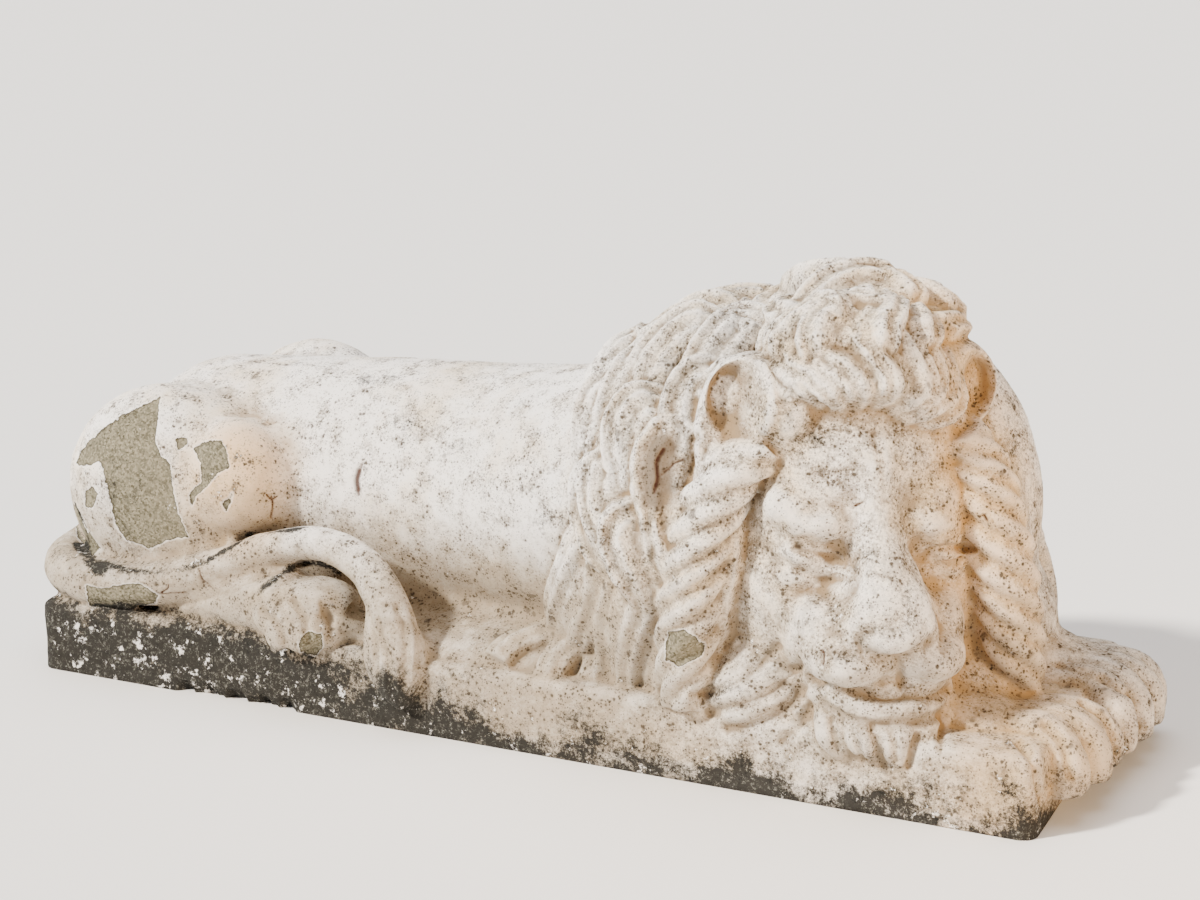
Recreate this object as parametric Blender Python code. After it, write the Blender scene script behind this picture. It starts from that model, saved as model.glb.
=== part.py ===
"""A lying garden lion with its head turned to its right and its chin down, cast in one with a low plinth.

The figure is modelled as a sculptor squares up a drawing: every place on it is in squares of a grid that is
drawn over the whole figure, from the middle of the plinth's underside, and one number sets the grid's size.
+X is towards the paws, -Y is the side that the face turns to, and +Z is up.
"""

import math

import bmesh
import bpy
from mathutils import Euler, Matrix, Vector
from mathutils.bvhtree import BVHTree

# Driving sizes, in metres
PLINTH_LENGTH = 1.20
PLINTH_WIDTH = 0.40
PLINTH_HEIGHT = 0.085
PLINTH_CORNER = 0.018
PLINTH_WORN_EDGE = 0.006
FIGURE_LENGTH = 1.32

# The grid over the figure, and the plinth as it is drawn on that grid
SQUARES_LONG = 132
DRAWN_PLINTH = Vector((120, 40, 8.5))
SQUARE = FIGURE_LENGTH / SQUARES_LONG
# The toes stay over the plinth's front end, the muzzle over its near side, and the belly on its top
SHIFT = Vector((
    (PLINTH_LENGTH - DRAWN_PLINTH.x * SQUARE) / 2,
    (DRAWN_PLINTH.y * SQUARE - PLINTH_WIDTH) / 2,
    PLINTH_HEIGHT - DRAWN_PLINTH.z * SQUARE,
))

# How finely the clay is fused, and how many triangles the casting is thinned to
BODY_VOXEL = 0.009
FLESH_VOXEL = 0.0065
CASTING_VOXEL = 0.0065
CASTING_TRIANGLES = 9400
BODY_SOFTENING = 14
FLESH_SOFTENING = 4
CASTING_SOFTENING = 1
BELOW_GROUND = 0.03

# The head's own axes on the grid: forwards to the nose, sideways to the lion's left
HEAD_PLACE = Vector((36, -6, 0))
HEAD_TURN = math.radians(-55)
HEAD_LEAN = -0.05
FORWARDS = Vector((math.cos(HEAD_TURN), math.sin(HEAD_TURN), 0))
SIDEWAYS = Vector((-math.sin(HEAD_TURN), math.cos(HEAD_TURN), 0))
DOWN = Vector((0, 0, -1))
BACK = Vector((-1, 0, 0))
UP = Vector((0, 0, 1))
# Each ear's side of the head and its height
EARS = ((-1, 40), (1, 41))


def place(point):
    """Grid squares to metres in the world."""
    return Vector(point) * SQUARE + SHIFT


def head(forward, side, height):
    """A point given in the head's own axes, as a point on the grid."""
    leant = side + HEAD_LEAN * (height - 12)
    return HEAD_PLACE + FORWARDS * forward + SIDEWAYS * leant + Vector((0, 0, height))


def spline(points, samples):
    """Samples of a Catmull-Rom curve through points, which may have any number of coordinates."""
    values = [Vector(p) for p in points]
    values = [values[0] * 2 - values[1], *values, values[-1] * 2 - values[-2]]
    result = []
    spans = len(values) - 3
    for index in range(samples + 1):
        where = min(index / samples * spans, spans - 1e-6)
        first = int(where)
        t = where - first
        a, b, c, d = values[first:first + 4]
        result.append(
            ((b * 2) + (c - a) * t + (a * 2 - b * 5 + c * 4 - d) * t * t + (b * 3 - a - c * 3 + d) * t ** 3) / 2
        )
    return result


def egg(clay, centre, radii, turn=(0, 0, 0)):
    """An ellipsoid. centre and radii are in squares, and turn is in degrees about X, Y and Z."""
    rotation = Euler([math.radians(angle) for angle in turn]).to_matrix().to_4x4()
    size = Matrix.Diagonal((*(Vector(radii) * SQUARE), 1))
    bmesh.ops.create_icosphere(
        clay, subdivisions=4, radius=1, matrix=Matrix.Translation(place(centre)) @ rotation @ size
    )


def head_egg(clay, forward, side, height, radii, pitch=0, roll=0):
    """An ellipsoid in the head's own axes: its radii run forwards, sideways and up."""
    rotation = Euler((math.radians(roll), math.radians(pitch), HEAD_TURN)).to_matrix().to_4x4()
    size = Matrix.Diagonal((*(Vector(radii) * SQUARE), 1))
    centre = place(head(forward, side, height))
    bmesh.ops.create_icosphere(
        clay, subdivisions=4, radius=1, matrix=Matrix.Translation(centre) @ rotation @ size
    )


def loft(clay, rings):
    """A closed skin over rings of points, with a point at each end."""
    loops = [[clay.verts.new(place(point)) for point in ring] for ring in rings]
    count = len(loops[0])
    for low, high in zip(loops, loops[1:]):
        for i in range(count):
            j = (i + 1) % count
            clay.faces.new((low[i], low[j], high[j], high[i]))
    for loop, ring, turned in ((loops[0], rings[0], True), (loops[-1], rings[-1], False)):
        tip = clay.verts.new(place(sum(ring, Vector()) / count))
        for i in range(count):
            j = (i + 1) % count
            clay.faces.new((loop[j], loop[i], tip) if turned else (loop[i], loop[j], tip))


def ring_at(centre, along, outwards, width, thickness, sides, section=None):
    """One ring of a limb or lock: width runs across it, thickness runs outwards from the body."""
    across = outwards.cross(along).normalized()
    outwards = along.cross(across).normalized()
    points = []
    for i in range(sides):
        angle = 2 * math.pi * i / sides
        wide, high = (math.cos(angle), math.sin(angle)) if section is None else section(angle)
        points.append(centre + across * width * wide + outwards * thickness * high)
    return points


def limb(clay, points, sides=20, samples=24, up=Vector((0, 0, 1))):
    """A tapering limb. Each point is x, y, z, half width and half height, in squares."""
    stations = [(Vector(p[:3]), p[3], p[-1]) for p in points]
    smooth = spline([(*centre, width, height) for centre, width, height in stations], samples)
    centres = [Vector(value[:3]) for value in smooth]
    rings = []
    for i, value in enumerate(smooth):
        along = (centres[min(i + 1, samples)] - centres[max(i - 1, 0)]).normalized()
        side = up if abs(along.dot(up)) < 0.95 else Vector((1, 0, 0))
        rings.append(ring_at(centres[i], along, side, value[3], value[4], sides))
    loft(clay, rings)


# The body under the hair, from the rump to the shoulders
TORSO = (
    (-54, 0.5, 20, 8, 9.5),
    (-47, 0, 20.8, 12.5, 14.4),
    (-37, 1, 21, 13.5, 15),
    (-22, 1.5, 21.8, 14, 15.2),
    (-8, 1, 22.6, 14.3, 15),
    (4, 0, 23.6, 15, 15.2),
    (14, -0.5, 25, 15, 15.6),
    (22, -1, 25, 13, 15),
)


def model_body(clay):
    """The soft forms that flow into each other."""
    limb(clay, TORSO, sides=32, samples=40)
    egg(clay, (-46, -10, 20.5), (14.5, 8, 13.6), (0, 14, 5))
    egg(clay, (-35.6, -13, 24.6), (6.2, 4.6, 7), (0, 8, 0))
    egg(clay, (-39, 11, 23), (13, 7.5, 13.4), (0, 8, -4))
    egg(clay, (12, -8, 19), (10, 8, 13))
    egg(clay, (12, 9.5, 20), (11, 8.5, 14))
    # The ground swells up to meet the belly
    egg(clay, (-8, 0, 8), (40, 19, 4.6))
    egg(clay, (33, -13, 8), (10, 6.4, 4.2))
    egg(clay, (-50, -1, 8), (13, 15, 6))
    egg(clay, (-56.5, -3, 11), (5.4, 10, 8))
    egg(clay, (-40, 11, 12), (13, 7, 7))
    # Hair in the mass: nape, crown, the near side's fall to the ground, and the far side
    egg(clay, (22, 0, 28.6), (13.6, 15, 16))
    egg(clay, (34.5, -2, 32.5), (14, 14.5, 16.8))
    egg(clay, (18.5, -11, 20), (8.5, 7.5, 18))
    egg(clay, (41, 6.5, 25), (12, 9.5, 19))
    egg(clay, (42, 8.5, 12), (13, 10, 12))
    egg(clay, (46, -3.5, 8), (10, 8, 6.5))
    egg(clay, (24, 11.5, 20), (15, 8.5, 17))


# The head, in its own axes
def model_skull(clay):
    """Forehead, cheeks, jaws and muzzle, and the hair behind the cheeks."""
    head_egg(clay, 0.6, 0, 28, (10.4, 11.5, 13))
    head_egg(clay, 4.6, 0, 34, (6.6, 9.6, 7))
    limb(clay, (
        (*head(7, 0, 33), 4.4, 4), (*head(8.4, 0, 28.5), 4, 4), (*head(10.4, 0, 24.6), 4, 4.4),
        (*head(12.6, 0, 21.4), 4.6, 4.6), (*head(13.2, 0, 19), 4.6, 4.2),
    ), up=FORWARDS)
    for side in (-1, 1):
        head_egg(clay, 2.8, 7.6 * side, 21.5, (7, 5.6, 11), pitch=-8)
        head_egg(clay, 6.8, 5.8 * side, 29.8, (4.4, 5, 4.4), pitch=8)
        head_egg(clay, 4.4, 10.4 * side, 9.6, (5.4, 6.4, 5.4), roll=14 * side)
        head_egg(clay, 0, 12.5 * side, 24, (4.4, 4, 14))
    head_egg(clay, 3, 14.5, 18, (5, 4.5, 15))
    head_egg(clay, 8.6, 0, 17.8, (8.8, 8, 6))
    head_egg(clay, 8, 0, 12.2, (7.6, 6.4, 4.4))
    # The mass that the forelocks lie on
    head_egg(clay, 4.6, 0.4, 42.5, (4.6, 6.8, 5.4))


def model_face(clay):
    """The nose bridge, the whisker pads, the lips, the lids and the brows."""
    limb(clay, (
        (*head(7.4, 0, 33), 3, 2.4), (*head(9.4, 0, 29.4), 2.8, 2.8), (*head(11, 0, 26), 2.9, 3.2),
        (*head(13.4, 0, 23.4), 3.5, 3.2), (*head(15.4, 0, 21.6), 4, 2.8), (*head(16, 0, 20.4), 4, 2.2),
    ), up=FORWARDS)
    # The broad nose pad and its wings
    head_egg(clay, 16, 0, 19.6, (3.2, 3.9, 2.2), pitch=14)
    for side in (-1, 1):
        head_egg(clay, 14.6, 3.0 * side, 19.6, (2.8, 1.9, 2.1))
        head_egg(clay, 12.6, 4.0 * side, 16.2, (5.6, 4.4, 3.0), pitch=4)
        head_egg(clay, 8.2, 6.2 * side, 17.4, (6, 3.4, 4.6), pitch=-12)
        # A closed eye under a heavy brow: the upper lid over the lower
        limb(clay, (
            (*head(9.8, 3.0 * side, 28.6), 1.2, 1.4), (*head(10.1, 5.8 * side, 28.7), 1.7, 2.0),
            (*head(8.2, 8.4 * side, 28.0), 1.5, 1.7), (*head(5.6, 10.4 * side, 26.6), 1.0, 1.1),
        ), sides=14)
        head_egg(clay, 9.2, 6.5 * side, 26.3, (2.0, 3.1, 1.5), roll=-4 * side)
        head_egg(clay, 8.8, 6.6 * side, 23.6, (1.9, 3.4, 1.4), roll=-4 * side)
    # The lower lip and the chin
    limb(clay, (
        (*head(8.6, -6.6, 12.6), 1, 1), (*head(11.4, -5.8, 12), 1.9, 1.9), (*head(14.4, -3.2, 11.6), 2.3, 2.2),
        (*head(15.4, 0, 11.4), 2.4, 2.3), (*head(14.4, 3.2, 11.6), 2.3, 2.2), (*head(11.4, 5.8, 12), 1.9, 1.9),
        (*head(8.6, 6.6, 12.6), 1, 1),
    ), sides=14, samples=30)


def model_ears(clay):
    """Two round ears, each with a full fold of skin before it."""
    for side, height in EARS:
        head_egg(clay, 3, 10.2 * side, height, (4.8, 5.2, 5.2))
        head_egg(clay, 5, 7.4 * side, height - 0.6, (3.8, 2.6, 4.6), roll=8 * side)


def dent(mesh, centre, radii, depth):
    """Presses a round hollow into the front of the head. Its wall takes half of its radius."""
    middle = place(centre)
    for vert in mesh.vertices:
        away = vert.co - middle
        away = Vector((away.x / radii[0], away.y / radii[1], away.z / radii[2])).length / SQUARE
        if away < 1:
            wall = min(1, (1 - away) * 2)
            bowl = 0.55 + 0.75 * (1 - away * away)
            vert.co -= FORWARDS * depth * SQUARE * bowl * wall * wall * (3 - 2 * wall)


def hollow_head(mesh):
    """The cups of the ears, and the hollow at the inner corner of each eye."""
    for side, height in EARS:
        dent(mesh, head(6.6, 12.4 * side, height + 0.2), (5.5, 3.2, 4.4), 3.0)
        dent(mesh, head(10.5, 4.9 * side, 25.4), (4.2, 3.6, 4.4), 0.8)
    mesh.update()


# The limbs that lie on the plinth
NEAR_FORELEG = ((16, -8, 12, 4, 4), (27, -10, 10.5, 5, 5), (40, -10.5, 8, 4.4, 4.4), (54, -9.5, 6.8, 5.4, 3.6))
FAR_FORELEG = ((10, 14, 13, 5, 5), (32, 13, 11, 5, 5), (48, 10.5, 8.6, 5.4, 5), (58, 8.5, 6.6, 6.4, 4))
NEAR_HIND_FOOT = ((-44, -14, 10, 4, 3.8), (-34, -15.6, 11, 4, 4), (-26, -16.6, 11.6, 4.4, 4.2))
FAR_HIND_FOOT = ((-40, 11, 12, 4, 4), (-30, 14.5, 10.6, 4, 4), (-20, 15.5, 10.2, 4.4, 3.8))
TAIL = (
    (-52, 3, 22, 3.4, 3.4), (-58.5, 3, 18, 3.2, 3.2), (-61.6, 0.5, 13.8, 3, 3), (-62.6, -5.5, 11.6, 2.8, 2.8),
    (-61.4, -12, 11.2, 2.8, 2.8), (-57.4, -16.6, 11.2, 2.8, 2.8), (-51, -18.2, 11.2, 2.8, 2.8),
    (-43.5, -18, 12.2, 2.5, 2.5), (-36, -17, 14.8, 2.2, 2.2), (-29, -16.4, 17.8, 2, 2), (-22.5, -16.2, 19, 2, 2),
    (-17, -16.8, 17.6, 2.1, 2.1), (-13.4, -18.2, 14.6, 2.4, 2.4), (-11.6, -19.4, 12, 2.6, 2.6),
)
TUFT_ROOT = Vector((-13.2, -18.4, 14.8))
TUFT_TIP = Vector((-9.6, -21, 3.0))
TUFT_BELLY = 3.9


def model_paw(clay, heel, tips, radius, hang):
    """Toes that fan out from a heel and hang over an edge. Each tip is x and y, and hang is their lowest z."""
    for x, y in tips:
        knuckle = Vector((x, y, 0)).lerp(Vector((heel[0], heel[1], 0)), 0.38)
        limb(clay, (
            (heel[0], y * 0.5 + heel[1] * 0.5, heel[2], radius * 1.1, radius),
            (knuckle.x, knuckle.y, heel[2] + 0.6, radius * 1.05, radius * 1.1),
            (x - 0.6, y, heel[2] - 1.2, radius, radius * 1.05),
            (x + 0.2, y, hang + radius, radius * 0.85, radius * 0.8),
        ), sides=14, samples=16)


def model_limbs(clay):
    """Forelegs, hind feet and the tail that wraps the near haunch."""
    for leg in (NEAR_FORELEG, FAR_FORELEG, NEAR_HIND_FOOT, FAR_HIND_FOOT):
        limb(clay, leg)
    model_paw(clay, (52.5, -9, 7), [(61.4, -12.6), (62.6, -7.8), (62.8, -3.4)], 2.5, 0)
    model_paw(clay, (55, 8.5, 7.2), [(63.4, 1.4), (64.2, 5.8), (64.4, 10.4), (63.8, 14.4)], 2.4, 0)
    model_paw(clay, (-27, -16.6, 11.6), [(-20.4, -18.6), (-18.6, -16.2)], 2.8, 8.6)
    model_paw(clay, (-28.5, -17.8, 10.6), [(-24.4, -20.6), (-21.6, -20.4)], 2.2, 6.4)
    model_paw(clay, (-21, 15.5, 10), [(-14.4, 12.6), (-13, 15.6), (-14, 18.6)], 2.4, 7.6)
    limb(clay, TAIL, sides=16, samples=70)
    middle = TUFT_ROOT.lerp(TUFT_TIP, 0.5)
    limb(clay, (
        (*TUFT_ROOT, 2.2, 2.0), (*middle, TUFT_BELLY, 2.4), (*TUFT_ROOT.lerp(TUFT_TIP, 0.8), 2.8, 2.0),
        (*TUFT_TIP, 0.7, 0.7),
    ), sides=16, up=Vector((0, -1, 0)))


# The hair
class Coat:
    """The body's skin, which the hair lies on."""

    def __init__(self, mesh_object):
        form = bmesh.new()
        form.from_mesh(mesh_object.data)
        self.tree = BVHTree.FromBMesh(form)
        form.free()

    def nearest(self, point):
        """The nearest place on the skin and its normal, both on the grid."""
        found, normal, _, _ = self.tree.find_nearest(place(point))
        return (found - SHIFT) / SQUARE, normal


def lock_section(strands, rolled):
    """A lock's cross-section: a round underside, and strands side by side on its outer side, one edge rolled up."""
    def section(angle):
        wide, high = math.cos(angle), math.sin(angle)
        if high > 0:
            ridges = 0.66 + 0.34 * abs(math.cos(strands * math.pi * wide / 2))
            high = high ** 0.7 * ridges * (1 + rolled * wide)
        return wide, high
    return section


def lock(clay, coat, root, heading, length, width, sway=0.3, droop=0.5, waves=1.0, lift=0.6, strands=3,
         rolled=0.0, thickness=0.8, blunt=False):
    """One lock that walks over the skin from a sunken root, sways from side to side and settles at its tip."""
    steps = max(10, round(length * 1.2))
    stride = length / steps
    spot, normal = coat.nearest(root)
    course = Vector(heading).normalized()
    centres, normals = [], []
    for i in range(steps + 1):
        share = i / steps
        buried = max(0, 1 - share / 0.28)
        settled = 1 - 0.55 * max(0, share - 0.6) / 0.4
        centres.append(spot + normal * width * (lift * (1 - buried) * settled - 0.75 * buried))
        normals.append(normal)
        across = normal.cross(course)
        turned = course + across * sway * math.cos(2 * math.pi * waves * share) + DOWN * droop * share
        step = (turned - normal * turned.dot(normal)).normalized()
        spot, normal = coat.nearest(spot + step * stride)
    for _ in range(2):
        normals = [(normals[max(i - 1, 0)] + normals[i] * 2 + normals[min(i + 1, steps)]).normalized()
                   for i in range(steps + 1)]
    rings = []
    for i in range(steps + 1):
        share = i / steps
        along = (centres[min(i + 1, steps)] - centres[max(i - 1, 0)]).normalized()
        fullness = min(1, 0.3 + 2.6 * share) * (1 - share ** 3 * (0.5 if blunt else 1)) ** 0.6 + 0.04
        rings.append(ring_at(
            centres[i], along, normals[i], width * fullness, width * thickness * fullness, 26,
            lock_section(strands, rolled),
        ))
    loft(clay, rings)


# Tiers of locks round the mane: where each lies along the body, how far round it reaches on the near side
# and on the far side in degrees, its locks' length and half width, and how steeply they fall
TIERS = (
    (43.5, 6, 112, 15, 2.9, 24),
    (38, -16, 114, 17, 3.2, 30),
    (32, -48, 116, 18, 3.4, 34),
    (25.5, -74, 116, 18, 3.4, 36),
    (19.5, -92, 112, 15, 3.2, 38),
    (14.5, -84, 100, 11, 2.8, 36),
)
MANE_AXIS = Vector((0, 0, 27))
MANE_REACH = 18
LOCK_SPACING = 1.62
# Rows of forelocks: their number, height and reach to the sides, their length and half width, and how they fan
FORELOCKS = (
    (8, 39.4, 3.4, 12, 1.85, 1.1, -0.75),
    (7, 42.8, 6.2, 12.5, 2.3, 0.75, 0.7),
    (5, 46, 7.4, 11, 2.5, 0.5, -0.7),
)


def comb_mane(clay, coat):
    """Tiers of locks that part along the crown and fall back and down on both sides, each over the next."""
    for tier, (along, near, far, length, width, slope) in enumerate(reversed(TIERS)):
        spread = math.degrees(LOCK_SPACING * width / MANE_REACH)
        count = round((far - near) / spread)
        for i in range(count + 1):
            round_it = math.radians(near + (far - near) * (i + 0.5 * (tier % 2)) / count)
            start = MANE_AXIS + Vector((
                along + 1.4 * (-1) ** i, MANE_REACH * math.sin(round_it), MANE_REACH * math.cos(round_it)
            ))
            fall = math.radians(slope) * (0.2 + abs(math.sin(round_it)) * 1.6)
            heading = BACK * math.cos(fall) + DOWN * math.sin(fall) + Vector((0, 0.4 * math.sin(round_it), 0))
            lean = -1 if round_it < 0 else 1
            lock(clay, coat, start, heading, length + 2 * (i % 2), width * (1.06 - 0.16 * (i % 2)),
                 sway=1.15 * lean, waves=0.9, droop=0.7, lift=0.4 + 0.26 * (i % 2), rolled=0.5 * lean)


def comb_forelocks(clay, coat):
    """Rows of locks that rise from the hairline, fan out and lie one behind the other."""
    for row, (count, height, reach, length, width, fan, sway) in enumerate(FORELOCKS):
        for i in range(count):
            spread = 2 * i / (count - 1) - 1
            start = head(8.6 - 2.2 * row - 2 * spread * spread, reach * spread, height - 0.8 * abs(spread))
            lock(clay, coat, start, UP + SIDEWAYS * fan * spread, length - abs(spread),
                 width * (1.1 - 0.2 * (i % 2)), sway=sway, waves=0.9, droop=-0.1, lift=0.42 + 0.34 * (i % 2),
                 strands=2, rolled=-0.5 if spread > 0 else 0.5, thickness=1.0)


def comb_ruff(clay, coat):
    """Long blunt strands that hang from the mane to the plinth, and hair that flows from the jaws to the ground."""
    for near in (-1, 1):
        for i in range(6):
            start = Vector((11 + 2.7 * i, 17 * near, 31 + 0.8 * i))
            lock(clay, coat, start, DOWN + BACK * (0.5 - 0.1 * i), 28, 2.3, sway=0.3, droop=0.8, waves=0.8,
                 lift=0.1 + 0.22 * (i % 2), strands=2, rolled=-0.2 * near, blunt=True)
    for i in range(8):
        start = Vector((27 + 3.5 * i, 20 - 0.14 * i * i, 31 - 0.4 * i))
        lock(clay, coat, start, DOWN + BACK * 0.2, 24, 2.4, sway=0.3, droop=0.6, waves=0.8,
             lift=0.15 + 0.2 * (i % 2), strands=2, blunt=True)
    # Hair that flows from the jaws to the ground
    for side in (-1, 1):
        for i in range(5):
            low = 9.4 - 0.2 * i
            limb(clay, (
                (*head(8.2 - 1.3 * i, (6.4 + 0.9 * i) * side, 14 + 1.5 * i), 1.0, 0.7),
                (*head(7.9 - 1.2 * i, (8.8 + 0.9 * i) * side, 12.4 + 1.2 * i), 1.5, 0.9),
                (*head(6.8 - 1.3 * i, (11.6 + 0.7 * i) * side, low + 1.6 + 0.7 * i), 1.5, 0.9),
                (*head(5.0 - 1.4 * i, (14.4 + 0.5 * i) * side, low - 0.6), 1.0, 0.7),
            ), sides=12, samples=14)


def rope_section(turn, lobes=3):
    """A twisted lock's cross-section, turned a little further on each ring."""
    def section(angle):
        radius = 1 + 0.2 * math.cos(lobes * (angle - turn))
        return radius * math.cos(angle), radius * math.sin(angle)
    return section


def twist_ropes(clay):
    """The twisted lock that frames each side of the face."""
    courses = {
        -1: [head(5.5, -9.6, 36), head(4.8, -13.4, 32.6), head(4.2, -16, 27), head(3.6, -17.4, 20),
             head(3.2, -18.2, 13), head(3.4, -18.4, 8)],
        1: [head(6.4, 10.4, 37), head(7.4, 12.2, 33), head(8.2, 13.4, 27), head(8.8, 14.4, 20),
            head(9, 15.2, 14), head(9, 15.8, 10)],
    }
    samples = 90
    for side, course in courses.items():
        path = spline(course, samples)
        rings = []
        for i, centre in enumerate(path):
            share = i / samples
            along = (path[min(i + 1, samples)] - path[max(i - 1, 0)]).normalized()
            radius = 3.3 * (0.55 + 0.5 * math.sin(math.pi * (0.12 + share * 0.76)))
            rings.append(ring_at(centre, along, FORWARDS, radius, radius * 0.85, 40,
                                 rope_section(-side * share * 4.4 * math.pi)))
        loft(clay, rings)


def hang_beard(clay):
    """Pointed locks under the lower lip, over the plinth's edge."""
    for i in range(5):
        side = -5.2 + 2.6 * i
        forward = 16.4 - 0.12 * side * side
        limb(clay, (
            (*head(forward - 3.4, side * 0.8, 11), 1.9, 1.7), (*head(forward - 0.6, side * 0.95, 9.4), 2.4, 2.0),
            (*head(forward + 0.4, side, 7.6), 2.1, 1.7),
            (*head(forward + 0.8, side * 1.06 + 0.6, 5.4 + i % 2), 0.6, 0.6),
        ), sides=14, samples=14, up=FORWARDS)


def model_plinth(clay):
    """A slab with rounded corners and worn edges. It runs on below ground, where it is cut off flat."""
    slab = bmesh.new()
    size = Matrix.Diagonal((PLINTH_LENGTH, PLINTH_WIDTH, PLINTH_HEIGHT + BELOW_GROUND, 1))
    middle = Matrix.Translation((0, 0, (PLINTH_HEIGHT - BELOW_GROUND) / 2))
    bmesh.ops.create_cube(slab, size=1, matrix=middle @ size)
    upright = [edge for edge in slab.edges if abs(edge.verts[0].co.z - edge.verts[1].co.z) > PLINTH_HEIGHT]
    bmesh.ops.bevel(slab, geom=upright, offset=PLINTH_CORNER, segments=5, affect="EDGES", profile=0.5)
    top = [edge for edge in slab.edges if all(vert.co.z > PLINTH_HEIGHT - 1e-4 for vert in edge.verts)]
    bmesh.ops.bevel(slab, geom=top, offset=PLINTH_WORN_EDGE, segments=2, affect="EDGES", profile=0.5)
    mesh = bpy.data.meshes.new("plinth")
    slab.to_mesh(mesh)
    slab.free()
    clay.from_mesh(mesh)
    bpy.data.meshes.remove(mesh)


def fused(name, clay, voxel, softening):
    """The clay's overlapping forms made one skin, and that skin softened."""
    mesh = bpy.data.meshes.new(name)
    clay.to_mesh(mesh)
    clay.free()
    rough = bpy.data.objects.new(name, mesh)
    bpy.context.scene.collection.objects.link(rough)
    fuse = rough.modifiers.new("fuse", "REMESH")
    fuse.mode = "VOXEL"
    fuse.voxel_size = voxel
    fuse.adaptivity = 0
    soften = rough.modifiers.new("soften", "SMOOTH")
    soften.factor = 0.5
    soften.iterations = softening
    graph = bpy.context.evaluated_depsgraph_get()
    skin = bpy.data.meshes.new_from_object(rough.evaluated_get(graph))
    bpy.data.objects.remove(rough)
    result = bpy.data.objects.new(name, skin)
    bpy.context.scene.collection.objects.link(result)
    return result


def cast_stone():
    """Limewashed cast stone: chalky white, dull and rough."""
    material = bpy.data.materials.new("limewashed_cast_stone")
    material.use_nodes = True
    shader = material.node_tree.nodes["Principled BSDF"]
    shader.inputs["Base Color"].default_value = (0.64, 0.59, 0.50, 1)
    shader.inputs["Roughness"].default_value = 0.9
    shader.inputs["Metallic"].default_value = 0.0
    return material


def ground_cutter():
    """A block below the ground that cuts the casting's underside flat."""
    block = bmesh.new()
    size = Matrix.Diagonal((PLINTH_LENGTH * 2, PLINTH_WIDTH * 3, BELOW_GROUND * 4, 1))
    bmesh.ops.create_cube(block, size=1, matrix=Matrix.Translation((0, 0, -BELOW_GROUND * 2)) @ size)
    mesh = bpy.data.meshes.new("ground_cutter")
    block.to_mesh(mesh)
    block.free()
    cutter = bpy.data.objects.new("ground_cutter", mesh)
    cutter.hide_render = True
    cutter.display_type = "WIRE"
    bpy.context.scene.collection.objects.link(cutter)
    return cutter


def main():
    for old in list(bpy.data.objects):
        bpy.data.objects.remove(old)

    clay = bmesh.new()
    model_body(clay)
    model_skull(clay)
    body = fused("body", clay, BODY_VOXEL, BODY_SOFTENING)
    coat = Coat(body)

    clay = bmesh.new()
    clay.from_mesh(body.data)
    bpy.data.objects.remove(body)
    model_face(clay)
    model_ears(clay)
    model_limbs(clay)
    flesh = fused("flesh", clay, FLESH_VOXEL, FLESH_SOFTENING)
    hollow_head(flesh.data)

    clay = bmesh.new()
    clay.from_mesh(flesh.data)
    bpy.data.objects.remove(flesh)
    comb_ruff(clay, coat)
    comb_mane(clay, coat)
    comb_forelocks(clay, coat)
    twist_ropes(clay)
    hang_beard(clay)
    model_plinth(clay)
    casting = fused("lion_on_plinth", clay, CASTING_VOXEL, CASTING_SOFTENING)

    thin = casting.modifiers.new("thin", "DECIMATE")
    triangles = sum(len(face.vertices) - 2 for face in casting.data.polygons)
    thin.ratio = min(1.0, CASTING_TRIANGLES / triangles)
    thin.use_collapse_triangulate = True
    flat = casting.modifiers.new("flat_underside", "BOOLEAN")
    flat.operation = "DIFFERENCE"
    flat.object = ground_cutter()
    casting.data.materials.append(cast_stone())
    casting.data.shade_smooth()


main()
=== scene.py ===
# %% [markdown]
# # A weathered garden lion, lying on its plinth
#
# The real thing is one casting: sandy concrete poured into a mould, turned out, and painted over many years
# with limewash. Frost, rain and lichen have worked on it since. In Blender such a figure could be sculpted
# by hand, but here every form is laid down in code from sizes, so that each step can be read, changed and
# run again. We lay soft forms for the body, comb locks of hair over them, fuse all of it into one skin,
# press the fine carving and the damage into that skin, and then paint it with one layered material.

# %% Tools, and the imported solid
import math

import bmesh
import bpy
import numpy as np
from mathutils import Euler, Matrix, Vector
from mathutils.bvhtree import BVHTree


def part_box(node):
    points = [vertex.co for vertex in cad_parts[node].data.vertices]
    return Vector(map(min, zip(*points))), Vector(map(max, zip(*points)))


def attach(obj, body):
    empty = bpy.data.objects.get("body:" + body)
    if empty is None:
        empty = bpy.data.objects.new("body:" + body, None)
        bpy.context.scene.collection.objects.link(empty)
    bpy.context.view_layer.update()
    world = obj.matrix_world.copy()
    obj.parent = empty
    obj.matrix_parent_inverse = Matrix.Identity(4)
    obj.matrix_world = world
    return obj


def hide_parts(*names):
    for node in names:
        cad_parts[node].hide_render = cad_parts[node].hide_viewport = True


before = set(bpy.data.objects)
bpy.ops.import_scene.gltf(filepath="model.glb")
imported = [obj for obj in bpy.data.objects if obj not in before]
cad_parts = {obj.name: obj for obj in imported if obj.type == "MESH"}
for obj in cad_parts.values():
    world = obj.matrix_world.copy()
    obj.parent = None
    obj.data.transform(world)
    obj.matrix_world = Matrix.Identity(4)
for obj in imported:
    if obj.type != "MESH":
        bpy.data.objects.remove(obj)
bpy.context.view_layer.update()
NODE = "lion_on_plinth"

# %% [markdown]
# ## The sizes, and a grid over the figure
#
# A sculptor squares up a drawing before cutting: a grid goes over it, and each feature is found by its
# square. We do the same. One square is one centimetre at the present size. Every place below is in squares,
# counted from the middle of the plinth's underside: x towards the paws, y away from the side that the face
# turns to, and z up. Changing one number then changes the whole figure.

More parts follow.
